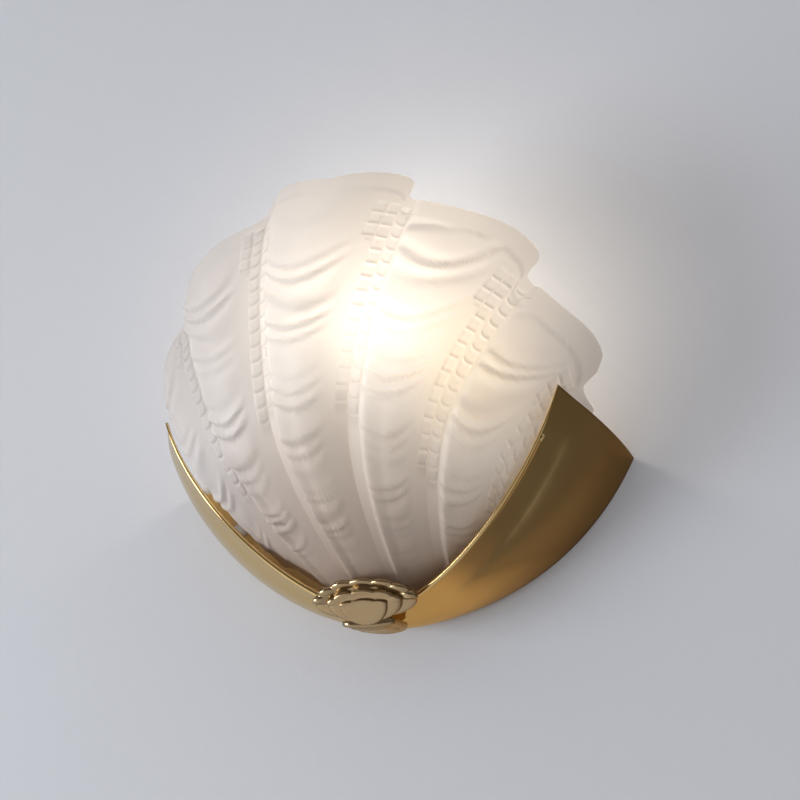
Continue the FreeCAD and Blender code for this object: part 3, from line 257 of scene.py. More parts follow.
def bowl_point(u, v, stepped=True):
    """Valley surface at (u, v): a fan plane's x and height z, and the egg plan's depth there."""
    fan = fan_angle(u)
    top = CROWN - RIM_FALL * fan * fan
    if stepped:
        across = u - np.floor(u + 0.5)
        top = top + RIM_STEP * across * np.sign(u) * np.abs(np.cos(np.pi * across)) ** 0.25
    bottom = -BASE_DROP + BASE_SIDE_RISE * (fan / SIDE_ANGLE) ** 4
    z = bottom + (top - bottom) * v
    bowed = fan * (1 + 0.05 * (u / SIDE) ** 4 * np.sin(np.pi * v))
    bowed = bowed + fan * RIM_OPENING * smooth((v - 0.45) / 0.55)
    x = (z + FAN_DROP) * np.tan(np.radians(bowed))
    width, depth = egg(-z, *FRONT_EGG), egg(-z, *SIDE_EGG)
    share = np.abs(x) / width
    share = np.where(share < 0.94, share, 0.94 + 0.052 * np.tanh((share - 0.94) / 0.052))
    return np.stack([np.sign(x) * width * share, -depth * np.sqrt(1 - share * share), z], -1)


def bowl_normal(u, v):
    """Outward direction of the valley surface, level where the bowl leans inward."""
    across = bowl_point(u + 1e-3, v, False) - bowl_point(u - 1e-3, v, False)
    up = bowl_point(u, np.minimum(v + 1e-3, 1), False) - bowl_point(u, np.maximum(v - 1e-3, 0), False)
    normal = np.cross(across, up)
    normal[..., 2] = np.minimum(normal[..., 2], 0)
    return unit(normal)


def lobe(u, v):
    """Height of the lobes over the valleys as a share: a cosine crest, growing from the base."""
    across = u - np.floor(u + 0.5)
    crest = np.abs(np.cos(np.pi * across)) ** 1.1
    outer = np.clip((np.abs(u) - 2.3) / 0.4, 0, 1)
    freed = np.clip((v - 0.66) / 0.3, 0, 1)
    return crest * smooth(v / 0.55) * (1 - outer * (0.8 - 0.8 * freed))


def push_in(points, samples):
    """Way inward that keeps the cradle's gap: softly 0 where there is room or past the front edge."""
    near, normal, past = samples
    flat = points.reshape(-1, 3).copy()
    flat[:, 0] = np.abs(flat[:, 0])
    need = np.zeros(len(flat))
    beyond = np.zeros(len(flat))
    for start in range(0, len(flat), 4000):
        part = flat[start:start + 4000]
        index = ((part[:, None, :] - near[None]) ** 2).sum(-1).argmin(1)
        offset = part - near[index]
        need[start:start + 4000] = CRADLE_GAP + (offset * normal[index]).sum(-1)
        beyond[start:start + 4000] = (offset * past[index]).sum(-1)
    soft = 0.5 * np.log1p(np.exp(np.minimum(need / 0.5, 30)))
    return (soft * (1 - smooth((beyond - 2) / 14))).reshape(points.shape[:-1])


# %% [markdown]
# ## The bowl's fine relief
#
# Folds hang across each lobe like swags of cloth: round ridges with a quick fall below them and a slow
# rise to the next. Beside every valley runs a strip of small raised bricks, and next to it the following
# lobe rises in a steep flank. A plain collar follows the rim.

# %% Bowl relief
FOLD_PITCH = 18.0          # along the lobe, from one fold to the next, at the rim
FOLD_CLOSER = 0.035        # how much closer the folds get with each millimetre from the rim
FOLD_SAG = 0.42            # how far a fold hangs down in the middle, in lobe widths
FOLD_TILT = 0.25           # how much higher its right end is than its left end, in lobe widths
FOLD_DEPTH = 3.2
FULL_LOBE = 52.0           # lobe width from which on the folds have their full height
FLANK_HEIGHT = 2.8
COLLAR_WIDTH = 13.0
COLLAR_HEIGHT = 0.9
BETWEEN_FOLDS = 0.6        # how far the face between folds lies below the plain face, in fold depths
STRIP_SHARE = 0.42         # the most of a lobe that the strip on one side of its valley takes
LOWER_FOLDS = (1.6, 0.8)   # lobes from the middle where the folds get half as high: start and span
NO_FOLDS = (2.7, 0.5)      # the same for where they end
NO_FLANKS = (2.2, 0.3)     # the same for where the flanks end
BRICK_WIDTH = 7.2          # pitch across the strip
BRICK_LENGTH = 9.6         # pitch along the strip
BRICK_HEIGHT = 0.9
BRICK_TOP = 16.0           # the first brick's distance from the rim
BRICK_ROWS = 15
BRICK_LINES = (-0.45, -0.38, -0.2, 0.0, 0.2, 0.38, 0.45)   # grid lines across one brick, in pitches


def flank_start(pitch):
    """Distance from the valley at which the flank and the folds begin."""
    return np.minimum(7.6, 0.16 * pitch)


def channel_place(u):
    """Distance from the nearest valley, in lobes; positive on the side of the next lobe's flank."""
    return u - 0.5 - np.round(u - 0.5)


def folds(u, level, strip, pitch):
    """Height of the folds from 0 to 1: a round ridge, a quick fall below it, a slow rise to the next."""
    middle = np.floor(u + 0.5)
    across = u - middle
    hang = (1 - 4 * across * across) * smooth(level / 50)
    level = level + np.minimum(pitch, 70) * (FOLD_TILT * across - FOLD_SAG * hang)
    phase = np.log(1 - np.clip(FOLD_CLOSER * level / FOLD_PITCH, -0.1, 0.6)) / FOLD_CLOSER
    wobble = 0.3 * np.sin(2.3 * phase + 1.9 * middle)
    phase = phase + wobble + 0.12 * np.sin(5 * across + 1.4 * phase + middle)
    part = phase - np.floor(phase)
    hollow = np.where(part < 0.66, part / 0.66, (1 - part) / 0.34)
    ridge = (0.5 + 0.5 * np.cos(np.pi * hollow)) ** 1.3
    ridge = ridge * (0.65 + 0.35 * np.sin(1.1 * phase + 2.4 * middle))
    from_flank = smooth((strip - flank_start(pitch)) / 3)
    from_bricks = smooth((-strip - np.minimum(12, 0.2 * pitch)) / (0.14 * pitch))
    ridge = ridge * np.where(strip > 0, from_flank, from_bricks)
    return ridge * (0.4 + 0.6 * smooth((0.4 - across) / 0.6))


def flank(strip, pitch):
    """The steep left side of each lobe, beside the strip of bricks, fading out over the lobe."""
    start = flank_start(pitch)
    rise = smooth((strip - start) / 2.2)
    return rise * (1 - smooth((strip - start - 2) / (0.42 * pitch - start - 2)))


def row_lift(u, pitch):
    """Way in millimetres that a row of bricks rises, to stay square to its valley.

    The rim's fall from lobe to lobe is taken out and the valley's own lean put in. It fades out over the
    crest and where the lobes get narrow.
    """
    valley = np.round(u - 0.5) + 0.5
    lean, step = fan_angle(valley), 0.02
    fall = RIM_FALL * (fan_angle(valley + step) ** 2 - fan_angle(valley - step) ** 2) / (2 * step)
    slope = np.clip(fall / pitch - np.tan(np.radians(lean)), -1.2, 1.2)
    place = channel_place(u)
    near = np.clip((0.5 - np.abs(place)) / 0.24, 0, 1)
    return slope * place * pitch * near * np.minimum(1, pitch / 40) ** 2


def bricks(strip, level):
    """Raised bricks: two columns along each valley, three near the rim, with sharp edges."""
    column = strip / BRICK_WIDTH
    inside = (column < 1.02) & (column > -1.02 - smooth((48 - level) / 4))
    side = np.abs(column - np.floor(column) - 0.5)
    row = (level - BRICK_TOP) / BRICK_LENGTH
    along = np.abs(row - np.floor(row) - 0.5)
    bump = smooth((0.45 - side) / 0.07) * smooth((0.45 - along) / 0.06)
    low = smooth((BRICK_ROWS - row) / 2.0)
    return bump * inside * (row > 0) * low


# %% [markdown]
# ## The bowl
#
# The grid follows the bricks: its columns run beside each valley at the bricks' edges and spread out
# over the crests, and its rows lie at the bricks' ends. Each column runs up the outside, round the rim
# and down the inside. A saw cut then takes off what lies behind the ground back edge.

# %% Build the bowl
CREST_COLUMNS = 30
LOW_ROWS = 56
COLLAR_ROWS = 14
RIM_END = 0.9955              # v of the topmost row; the rounded rim fills the rest
RIM_ROUND = 0.6               # how far the rim rises over its edges, in half thicknesses
RIM_TURNS = np.radians([36, 72, 108, 144])
INNER_ROWS = 44


def strip_lines():
    """Distances of the grid's lines from a valley, in millimetres."""
    side = [(centre + line) * BRICK_WIDTH for centre in (0.5, 1.5) for line in BRICK_LINES]
    return np.array([-d for d in reversed(side)] + [0.0] + side)


def valley_pitch(u, v, step=0.02):
    """Width of a lobe in millimetres, as wide as the surface runs there."""
    across = bowl_point(u + step, v, False) - bowl_point(u - step, v, False)
    return np.linalg.norm(across, axis=-1) / (2 * step)


def column_lobes(v):
    """Lobe coordinates of all columns at each v: strips by the valleys, even steps over the crests."""
    lines = strip_lines()
    edge = lines[-1]
    groups = []
    left = np.full((1, len(v)), -SIDE)
    for valley in np.arange(-SIDE + 1, SIDE + 0.5):
        last = valley == SIDE
        pitch = valley_pitch(np.full_like(v, valley), v)
        squeeze = np.minimum(1, STRIP_SHARE * pitch / edge) / pitch
        right = np.full((1, len(v)), SIDE) if last else (valley - edge * squeeze)[None]
        share = np.linspace(0, 1, CREST_COLUMNS + 2)[:, None]
        share = share[(0 if valley == -SIDE + 1 else 1):(None if last else -1)]
        groups.append(left + (right - left) * share)
        if not last:
            groups.append(valley + lines[:, None] * squeeze)
            left = (valley + edge * squeeze)[None]
    return np.concatenate(groups)


def outer_points(u, v, samples):
    """Outer face without relief, and its normal."""
    normal = bowl_normal(u, v)
    height = np.where(np.abs(u) < 0.5, LOBE_HEIGHT, SIDE_LOBE_HEIGHT)
    points = bowl_point(u, v) + normal * (height * lobe(u, v))[..., None]
    return points - normal * push_in(points, samples)[..., None], normal


def plain_height(u, share):
    """v of the height that this share has on a rim without steps."""
    z = bowl_point(u, share, False)[..., 2]
    low = bowl_point(u, np.zeros_like(u))[..., 2]
    high = bowl_point(u, np.ones_like(u))[..., 2]
    return (z - low) / (high - low)


def row_levels(total):
    """Levels of the outer rows: brick ends near the rim, even steps to the base below."""
    ends = [BRICK_TOP + (i + line + 0.5) * BRICK_LENGTH
            for i in range(BRICK_ROWS) for line in BRICK_LINES]
    ends = np.repeat(np.array(ends)[None], len(total), 0)
    share = np.linspace(0, 1, LOW_ROWS + 1)[1:]
    rest = ends[:, -1:] + (total[:, None] - ends[:, -1:]) * share
    return np.concatenate([ends, rest], 1)[:, ::-1]


def crest_level(lobes, z):
    """Distance from the rim that the crest of a point's lobe has at the point's height."""
    level = np.zeros_like(z)
    v = np.linspace(0, 1, 121)
    crests = np.clip(np.floor(lobes + 0.5), -3, 3)
    for crest in np.unique(crests):
        line = bowl_point(np.full_like(v, crest), v, False)
        run = np.concatenate([[0], np.cumsum(np.linalg.norm(np.diff(line, axis=0), axis=-1))])
        here = crests == crest
        level[here] = run[-1] - np.interp(z[here], line[:, 2], run)
    return level


def glass_relief(lobes, v, base, rows):
    """Height of the relief in millimetres, and a value from 0 to 1 of painted light and shade over it."""
    rim, even_rim = [bowl_point(lobes, np.ones_like(v), stepped)[..., 2] for stepped in (True, False)]
    to_edge = np.maximum(rim - base[..., 2], 0)
    pitch = valley_pitch(lobes, v)
    above = to_edge - (rim - even_rim) + row_lift(lobes, pitch)
    level = np.concatenate([rows, above[:, -COLLAR_ROWS:]], 1)
    strip = channel_place(lobes) * pitch
    squeeze = np.minimum(1, STRIP_SHARE * pitch / strip_lines()[-1])
    brick = bricks(strip / squeeze, level) * (squeeze > 0.95)
    collar_mask = 1 - smooth((to_edge - COLLAR_WIDTH) / 1.6)
    hang_level = crest_level(lobes, bowl_point(lobes, v)[..., 2])
    ridge = folds(lobes, hang_level, strip, pitch) * (1 - collar_mask) * smooth((v - 0.03) / 0.12)
    size = np.minimum(1, pitch / FULL_LOBE) ** 1.2
    lower, plain, bare = [smooth((np.abs(lobes) - start) / span)
                          for start, span in (LOWER_FOLDS, NO_FOLDS, NO_FLANKS)]
    ridge = ridge * (1 - plain) * (1 - 0.5 * lower)
    relief = FOLD_DEPTH * size * (ridge - BETWEEN_FOLDS * (1 - 0.5 * lower))
    relief = relief + COLLAR_HEIGHT * collar_mask + BRICK_HEIGHT * brick
    relief = relief + FLANK_HEIGHT * size * flank(strip, pitch) * (1 - bare)
    # painted shade: lighter where the relief faces up, darker where it faces down and along brick edges
    slope = np.gradient(relief, axis=1) / np.minimum(np.gradient(level, axis=1), -0.05)
    light = np.clip(0.5 + 0.9 * slope - 1.2 * brick * (1 - brick), 0, 1)
    return relief * smooth(v / 0.06), light


def build_glass():
    """The bowl's closed skin, sawn off at its ground back edge."""
    samples = cradle_samples()
    trial = np.linspace(0, 1, 121)
    u = column_lobes(trial)
    share = np.repeat(trial[None], len(u), 0)
    v = plain_height(u, share)
    points, _ = outer_points(u, np.clip(v, 0, 1), samples)
    step = np.linalg.norm(np.diff(points, axis=1), axis=-1)
    rise = np.concatenate([np.zeros((len(u), 1)), np.cumsum(step, 1)], 1)
    level = rise[:, -1:] - rise + row_lift(u, valley_pitch(u, v))
    rows = row_levels(level[:, 0])
    share = np.stack([np.interp(-row, -line, trial) for row, line in zip(rows, level)])

    def at(share):
        """Lobe coordinate and v of every column at these shares."""
        lobes = np.stack([np.interp(part, trial, line) for part, line in zip(share, u)])
        return lobes, plain_height(lobes, share)

    lobes, v = at(share)
    top = v[:, -1:]
    v = np.concatenate([v, top + (RIM_END - top) * np.linspace(0, 1, COLLAR_ROWS + 1)[1:]], 1)
    lobes = np.concatenate([lobes, np.repeat(lobes[:, -1:], COLLAR_ROWS, 1)], 1)
    base, normal = outer_points(lobes, v, samples)
    relief, light = glass_relief(lobes, v, base, rows)
    outer = base + normal * relief[..., None]
    lobes_in, v_in = at(np.repeat(np.linspace(1, 0, INNER_ROWS)[None], len(u), 0))
    v_in = np.clip(v_in, 0, RIM_END)
    v_in[:, 0] = RIM_END
    inner, normal_in = outer_points(lobes_in, v_in, samples)
    inner = inner - normal_in * GLASS_THICKNESS
    middle = (outer[:, -1] + inner[:, 0]) / 2
    half = (outer[:, -1] - inner[:, 0]) / 2
    rise = unit(base[:, -1] - base[:, -3]) * np.linalg.norm(half, axis=-1, keepdims=True)
    rim = np.stack([middle + half * np.cos(a) + rise * RIM_ROUND * np.sin(a) for a in RIM_TURNS], 1)
    ring = np.concatenate([outer, rim, inner], 1)
    count, length = ring.shape[:2]
    pad = np.zeros((count, length - v.shape[1]))
    height = np.concatenate([v, pad[:, :len(RIM_TURNS)] + 1, v_in], 1)
    obj = new_mesh("glass", to_frame(ring), grid_quads(count, length, wrap_cols=True)[:, ::-1],
                   {"up_share": height, "light": np.concatenate([light, pad + 0.5], 1)})
    saw_off(obj, -GLASS_BACK / 1000.0)
    return obj


def saw_off(obj, y):
    """Takes off what lies behind a plane of constant y and closes the cut."""
    mesh = bmesh.new()
    mesh.from_mesh(obj.data)
    everything = mesh.verts[:] + mesh.edges[:] + mesh.faces[:]
    bmesh.ops.bisect_plane(mesh, geom=everything, plane_co=(0, y, 0), plane_no=(0, 1, 0),
                           clear_outer=True)
    cut = [vert for vert in mesh.verts if abs(vert.co.y - y) < 1e-7]
    bmesh.ops.remove_doubles(mesh, verts=cut, dist=2e-5)
    border = [edge for edge in mesh.edges if edge.is_boundary]
    bmesh.ops.triangle_fill(mesh, edges=border, use_beauty=False, use_dissolve=False, normal=(0, 1, 0))
    mesh.to_mesh(obj.data)
    print("open edges after the saw cut:", sum(not edge.is_manifold for edge in mesh.edges))
    mesh.free()


glass = build_glass()
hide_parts("glass_shade")
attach(glass, "shade")
print("bowl points:", len(glass.data.vertices))

# %% [markdown]
# ## The cheeks
#
# One closed section is swept along the cradle: the outer face, the crease, the strip, a rounded bead at
# the front edge that gets thinner towards the tip, and the inner face back to the wall.

# %% Build the cheeks
CHEEK_STEPS = 110
BEAD_START = 2.6              # radius of the front edge's bead at the bottom
BEAD_LESS = 1.7               # how much thinner it is at the tip


def build_cheek(name, side):
    """Sheet-metal cheek with a beaded front edge; side is 1 for the right one and -1 for the left."""
    s = np.linspace(0, 1, CHEEK_STEPS)
    normal = cheek_normal(s)
    lines = [cheek_face(s, np.full_like(s, t), 0) for t in np.linspace(0, 0.97, 22)]
    _, _, crease, front = cheek_section(s, 0)
    chord = unit(front - crease)
    lines += [crease + (front - crease) * t for t in (0.04, 0.25, 0.5, 0.75, 0.88)]
    bead = (BEAD_START - BEAD_LESS * s)[:, None]
    out = unit(normal - chord * (normal * chord).sum(-1, keepdims=True))
    centre = front + out * (bead - CHEEK_THICKNESS) - chord * bead
    first = np.pi + np.arcsin((bead - CHEEK_THICKNESS) / bead)
    for t in np.linspace(0, 1, 15):
        a = first + (-np.pi / 2 - first) * t
        lines.append(centre + bead * (chord * np.cos(a) + out * np.sin(a)))
    _, _, crease_in, front_in = cheek_section(s, CHEEK_THICKNESS)
    lines += [front_in + (crease_in - front_in) * t for t in (0.35, 0.6, 0.96)]
    lines += [cheek_face(s, np.full_like(s, t), CHEEK_THICKNESS) for t in np.linspace(0.97, 0, 16)]
    ring = np.stack(lines, 1)
    ring[0, :, 0] = 0.02
    ring[..., 0] *= side
    count, length = ring.shape[:2]
    quads = grid_quads(count, length, wrap_cols=True)
    centre_points = ring[[0, -1]].mean(1)
    tris = []
    for column, middle, flip in ((0, count * length, False), (count - 1, count * length + 1, True)):
        i = np.arange(length) + column * length
        j = np.roll(i, -1)
        cap = np.stack([j, i, np.full(length, middle)], -1)
        tris.append(cap[:, ::-1] if flip else cap)
    tris = np.concatenate(tris)
    if side > 0:
        quads, tris = quads[:, ::-1], tris[:, ::-1]
    points = np.concatenate([ring.reshape(-1, 3), centre_points])
    obj = new_mesh(name, to_frame(points), quads, caps=tris)
    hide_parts(name.replace("_metal", ""))
    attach(obj, "fixture")
    return obj


cheeks = [build_cheek("right_cheek_metal", 1), build_cheek("left_cheek_metal", -1)]
print("cheek points:", [len(cheek.data.vertices) for cheek in cheeks])

# %% [markdown]
# ## The bulb and its holder
#
# Turned shapes: profiles of radius and height, spun about the lamp's axis.

# %% Bulb and holder
LAMP = (0.0, -52.0)
CAP_Z = 29.3
THREAD_PITCH = 3.6
COLLAR_Z = 55.3
DOME_Z = 89.6
DOME_RADIUS = 30.0
DOME_UNDERCUT = 25            # degrees that the dome goes on below its widest level
SLEEVE = [(14.2, 33.2), (18.5, 33.2), (18.5, 54.7), (14.2, 54.7), (14.2, 33.4)]
CUP = [(5.05, 12), (13, 12), (17, 17), (17, 33), (15, 33), (15, 23.4), (5.05, 23.4), (5.05, 12.1)]


def rounded(profile, radius):
    """A profile with a short curve over each inner corner, which starts and ends radius from it."""
    points = np.asarray(profile, float)
    t = np.linspace(0, 1, 5)[:, None]
    out = [points[:1]]
    for a, b, c in zip(points, points[1:], points[2:]):
        start, end = b + unit(a - b) * radius, b + unit(c - b) * radius
        out.append(start * (1 - t) ** 2 + 2 * b * t * (1 - t) + end * t * t)
    return np.concatenate(out + [points[-1:]])


def flutes(low, high, fade, depth, count, power=1):
    """Waves for lathe: flutes cut into a turned shape between two heights, fading out at both."""
    def waves(profile, turn):
        """What the flutes add to the radius at each height and angle."""
        z = profile[:, 1][:, None]
        band = smooth((z - low) / fade) * smooth((high - z) / fade)
        return -depth * band * (0.5 + 0.5 * np.cos(count * turn)[None, :]) ** power
    return waves


collar_taper = [(15 + 12 * t ** 1.3, COLLAR_Z + 25.5 * t) for t in np.linspace(0, 1, 14)]
collar = lathe("collar", [(0.01, COLLAR_Z), (13, COLLAR_Z)] + collar_taper
               + [(27, COLLAR_Z + 33.2), (26.2, COLLAR_Z + 34), (0.01, COLLAR_Z + 34)], LAMP, 144,
               flutes(COLLAR_Z + 3, COLLAR_Z + 26, 4, 0.9, 24, 2))
arc = np.radians(np.linspace(-DOME_UNDERCUT, 90, 34))
dome_centre = DOME_Z + DOME_RADIUS * math.sin(math.radians(DOME_UNDERCUT))
dome_arc = [(DOME_RADIUS * math.cos(a) + 0.001, dome_centre + DOME_RADIUS * math.sin(a)) for a in arc]
dome = lathe("dome", [(0.01, DOME_Z)] + dome_arc, LAMP, 96)


def cap_profile():
    """The screw cap: rounded thread rings between a foot and a plain collar."""
    z = np.linspace(0, 25.2, 100)
    wave = 12.2 + 0.8 * np.sin(np.pi * (z % THREAD_PITCH) / THREAD_PITCH)
    wave = np.where(z > 6 * THREAD_PITCH, 12.4 + 0.5 * smooth((z - 6 * THREAD_PITCH) / 3), wave)
    return [(0.01, CAP_Z), (11.5, CAP_Z)] + list(zip(wave, z + CAP_Z)) + [(0.01, CAP_Z + 25.9)]


cap = lathe("cap", cap_profile(), LAMP, 96)
sleeve = lathe("sleeve", rounded(SLEEVE, 0.8), LAMP, 160, flutes(35, 53, 1.5, 0.35, 40))
cup = lathe("cup", rounded(CUP, 0.7), LAMP, 96)
for obj, node, body in ((collar, "bulb_collar", "bulb"), (dome, "bulb_dome", "bulb"),
                        (cap, "bulb_cap", "bulb"), (sleeve, "holder_sleeve", "fixture"),
                        (cup, "holder_cup", "fixture")):
    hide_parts(node)
    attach(obj, body)
print("turned pieces: collar, dome, cap, sleeve, cup")

# %% [markdown]
# ## The cast ornament
#
# Three scalloped tiers lie on each other like the plates of a shell. Each tier is a fan: flutes run out
# from its hinge to round scallops, and its edge is rounded over. The outline is an ellipse above and a
# flatter curve below.

# %% Build the ornament
BOSS_LEAN = math.radians(30)
BOSS_DROP = 161.0
BOSS_CROWN = 16.1             # height of the first tier's scallops above the centre
BOSS_GAP = 7.5                # from there to the bowl's valley surface
CROWN_REACH = float(egg(BOSS_DROP - BOSS_CROWN * math.cos(BOSS_LEAN), *SIDE_EGG))
BOSS_CENTRE = np.array([0.0, BOSS_CROWN * math.sin(BOSS_LEAN) - CROWN_REACH - BOSS_GAP, -BOSS_DROP])
FOOT_HALF = 17.0
FOOT_TOP = -170.75
FOOT_THICKNESS = 5.4
FOOT_BACK = -24.0
BOSS_RISE = np.array([0, -math.sin(BOSS_LEAN), math.cos(BOSS_LEAN)])
BOSS_FACE = np.array([0, -math.cos(BOSS_LEAN), -math.sin(BOSS_LEAN)])


def ringed(name, ring):
    """A closed mesh over a stack of rings in millimetres."""
    count, length = ring.shape[:2]
    quads = grid_quads(count, length, wrap_cols=True)
    return new_mesh(name, to_frame(ring), quads, caps=end_caps(count, length))


def tier_outline(angle, half, height, low, scallops, wave):
    """A tier's outline: an ellipse plus round scallops above, a plain half ellipse below."""
    up = np.sin(angle) > 0
    rise = np.where(up, height, low)
    scallop = np.abs(np.sin(scallops * angle)) ** 0.7 * wave * up
    return np.stack([(half + scallop) * np.cos(angle), (rise + scallop) * np.sin(angle)], -1)


def build_tier(name, half, height, low, scallops, wave, back, front, lip_height):
    """One tier: rings from its middle to its edge, with a raised fluted lip, and round to its back."""
    angle = np.linspace(0, 2 * np.pi, 192, endpoint=False)
    outline = tier_outline(angle, half, height, low, scallops, wave)
    up = smooth(np.sin(angle) * 6)
    flute = (np.abs(np.sin(scallops * angle)) ** 0.8 - 0.6) * up * (lip_height / 1.5)
    lip = lip_height * up
    lines = []
    for rho in np.linspace(0.02, 0.9, 16):
        raised = lip * smooth((rho - 0.66) / 0.2) + flute * smooth((rho - 0.5) / 0.4)
        lines.append((outline * rho, front - lip_height - 0.1 + raised))
    edge = front - lip_height - 0.1 + lip + flute
    for a in np.radians([15, 30, 45, 60, 75, 90]):
        rho = 0.9 + 0.1 * math.sin(a)
        lines.append((outline * rho, edge - (edge - back) * 0.5 * (1 - math.cos(a))))
    lines.append((outline, np.full_like(angle, back)))
    lines.append((outline * 0.02, np.full_like(angle, back)))
    rings = []
    for flat, out in lines:
        out = np.broadcast_to(out, angle.shape)
        rings.append(BOSS_CENTRE + flat[:, :1] * np.array([1.0, 0, 0]) + flat[:, 1:] * BOSS_RISE
                     + out[:, None] * BOSS_FACE)
    return ringed(name, np.stack(rings[::-1]))


tiers = [
    build_tier("boss_tier_1", half=33, height=14.5, low=10.9, scallops=7, wave=1.6, back=-1.5, front=1.8,
               lip_height=1.6),
    build_tier("boss_tier_2", half=23.8, height=7.9, low=12.5, scallops=5, wave=1.3, back=-0.5, front=3.0,
               lip_height=0.3),
    build_tier("boss_tier_3", half=15.2, height=2.6, low=13.5, scallops=3, wave=1.0, back=1.0, front=4.6,
               lip_height=0.2),
]


def build_foot():
    """The ornament's foot: a round-ended tongue under the cradle with one step round its underside."""
    front = BOSS_CENTRE[1] + 3.0
    turn = np.linspace(0, np.pi, 41)
    round_end = np.stack([FOOT_HALF * np.cos(turn), FOOT_BACK - FOOT_HALF + FOOT_HALF * np.sin(turn)], -1)
    straight = np.linspace(0, 1, 13)[1:-1, None]
    left, right = np.array([-FOOT_HALF, front]), np.array([FOOT_HALF, front])
    corners = [(round_end[-1], left), (left, right), (right, round_end[0])]
    outline = np.concatenate([round_end] + [a + (b - a) * straight for a, b in corners])
    centre = np.array([0.0, (front + FOOT_BACK) / 2])
    bottom = FOOT_TOP - FOOT_THICKNESS
    rings = []
    for scale, z in ((0.02, FOOT_TOP), (0.99, FOOT_TOP), (1.0, FOOT_TOP - 0.3), (1.0, bottom + 2.4),
                     (0.99, bottom + 1.5), (0.96, bottom + 0.9), (0.92, bottom + 0.7),
                     (0.78, bottom + 0.7), (0.76, bottom + 0.6), (0.745, bottom + 0.2), (0.73, bottom),
                     (0.3, bottom), (0.02, bottom)):
        flat = centre + (outline - centre) * scale
        sag = flat[:, 0] ** 2 / (12 * FOOT_HALF) * (z < FOOT_TOP - 1)
        rings.append(np.stack([flat[:, 0], flat[:, 1], z + sag], -1))
    return ringed("boss_foot", np.stack(rings[::-1]))


boss_foot = build_foot()
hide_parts("shell_boss")
for piece in [boss_foot] + tiers:
    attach(piece, "fixture")
print("ornament pieces:", 1 + len(tiers))

# %% [markdown]
# ## Materials
#
# Each finish is a Principled shader with a little procedural life: polish marks, casting grain, or the
# clouding of frosted glass. Small helpers add single nodes; shared colour and value recipes are groups.

# %% Node tools
FLOAT, COLOUR, VECTOR = "NodeSocketFloat", "NodeSocketColor", "NodeSocketVector"


def put(value, socket):
    """Links a socket to another one, or sets it to a number, place or colour."""
    if isinstance(value, bpy.types.NodeSocket):
        socket.id_data.links.new(value, socket)
    else:
        socket.default_value = value


def rgba(colour):
    """A colour with full alpha."""
    return (*colour, 1.0)


def where(tree, space="Object"):
    """Coordinates of the shaded point."""
    return tree.nodes.new("ShaderNodeTexCoord").outputs[space]


def coordinate(tree, axis, space="Object"):
    """One coordinate of the shaded point."""
    split = tree.nodes.new("ShaderNodeSeparateXYZ")
    put(where(tree, space), split.inputs[0])
    return split.outputs[axis]


def ray_is(tree, kind):
    """1 for rays of this kind, 0 for others."""
    return tree.nodes.new("ShaderNodeLightPath").outputs[kind]


def noise(tree, scale, detail):
    """Noise over object coordinates."""
    node = tree.nodes.new("ShaderNodeTexNoise")
    put(where(tree), node.inputs["Vector"])
    put(scale, node.inputs["Scale"])
    put(detail, node.inputs["Detail"])
    return node.outputs["Fac"]


def map_range(tree, value, start, end, low=0.0, high=1.0, shape="LINEAR"):
    """A value that goes from low to high while another goes from start to end."""
    node = tree.nodes.new("ShaderNodeMapRange")
    node.interpolation_type = shape
    put(value, node.inputs["Value"])
    for key, limit in zip(("From Min", "From Max", "To Min", "To Max"), (start, end, low, high)):
        put(limit, node.inputs[key])
    return node.outputs["Result"]


def mix_colours(tree, share, first, second, blend="MIX"):
    """A colour that goes from first to second with share."""
    node = tree.nodes.new("ShaderNodeMix")
    node.data_type = "RGBA"
    node.blend_type = blend
    for index, part in ((0, share), (6, first), (7, second)):
        put(part, node.inputs[index])
    return node.outputs[2]


def scaled(tree, colour, factor):
    """A colour times a factor."""
    node = tree.nodes.new("ShaderNodeVectorMath")
    node.operation = "SCALE"
    put(colour, node.inputs[0])
    put(factor, node.inputs["Scale"])
    return node.outputs["Vector"]


def colour_ramp(tree, value, stops):
    """The colour at a value, between stops of position and colour."""
    node = tree.nodes.new("ShaderNodeValToRGB")
    elements = node.color_ramp.elements
    for position, colour in stops:
        elements.new(position).color = rgba(colour)
    elements.remove(elements[0])
    elements.remove(elements[-1])
    put(value, node.inputs[0])
    return node.outputs[0]


# %% Shared recipes
def shader_group(name, inputs, output_type, build):
    """A node group with named sockets; build fills it and returns the socket to put out."""
    group = bpy.data.node_groups.new(name, "ShaderNodeTree")
    for socket, kind, default in inputs:
        item = group.interface.new_socket(name=socket, in_out="INPUT", socket_type=kind)
        item.default_value = default
    group.interface.new_socket(name="Result", in_out="OUTPUT", socket_type=output_type)
    enter = group.nodes.new("NodeGroupInput").outputs
    leave = group.nodes.new("NodeGroupOutput")
    put(build(group, enter), leave.inputs["Result"])
    return group


def use_group(tree, group, **values):
    """Adds a node group with its inputs set, and returns its result socket."""
    node = tree.nodes.new("ShaderNodeGroup")
    node.node_tree = group
    for key, value in values.items():
        node.inputs[key].default_value = value
    return node.outputs["Result"]


def cloud_bump(group, enter):
    """Bump from noise at the given scale and height in metres."""
    bump = group.nodes.new("ShaderNodeBump")
    bump.inputs["Strength"].default_value = 1
    put(noise(group, enter["Scale"], 4), bump.inputs["Height"])
    put(enter["Distance"], bump.inputs["Distance"])
    return bump.outputs["Normal"]


def two_tone(group, enter):
    """Cloudy mix of two colours."""
    return mix_colours(group, noise(group, enter["Scale"], 5), enter["First"], enter["Second"])


def cloud_value(group, enter):
    """A value that wanders between Low and High."""
    return map_range(group, noise(group, enter["Scale"], 3), 0.3, 0.7, enter["Low"], enter["High"])


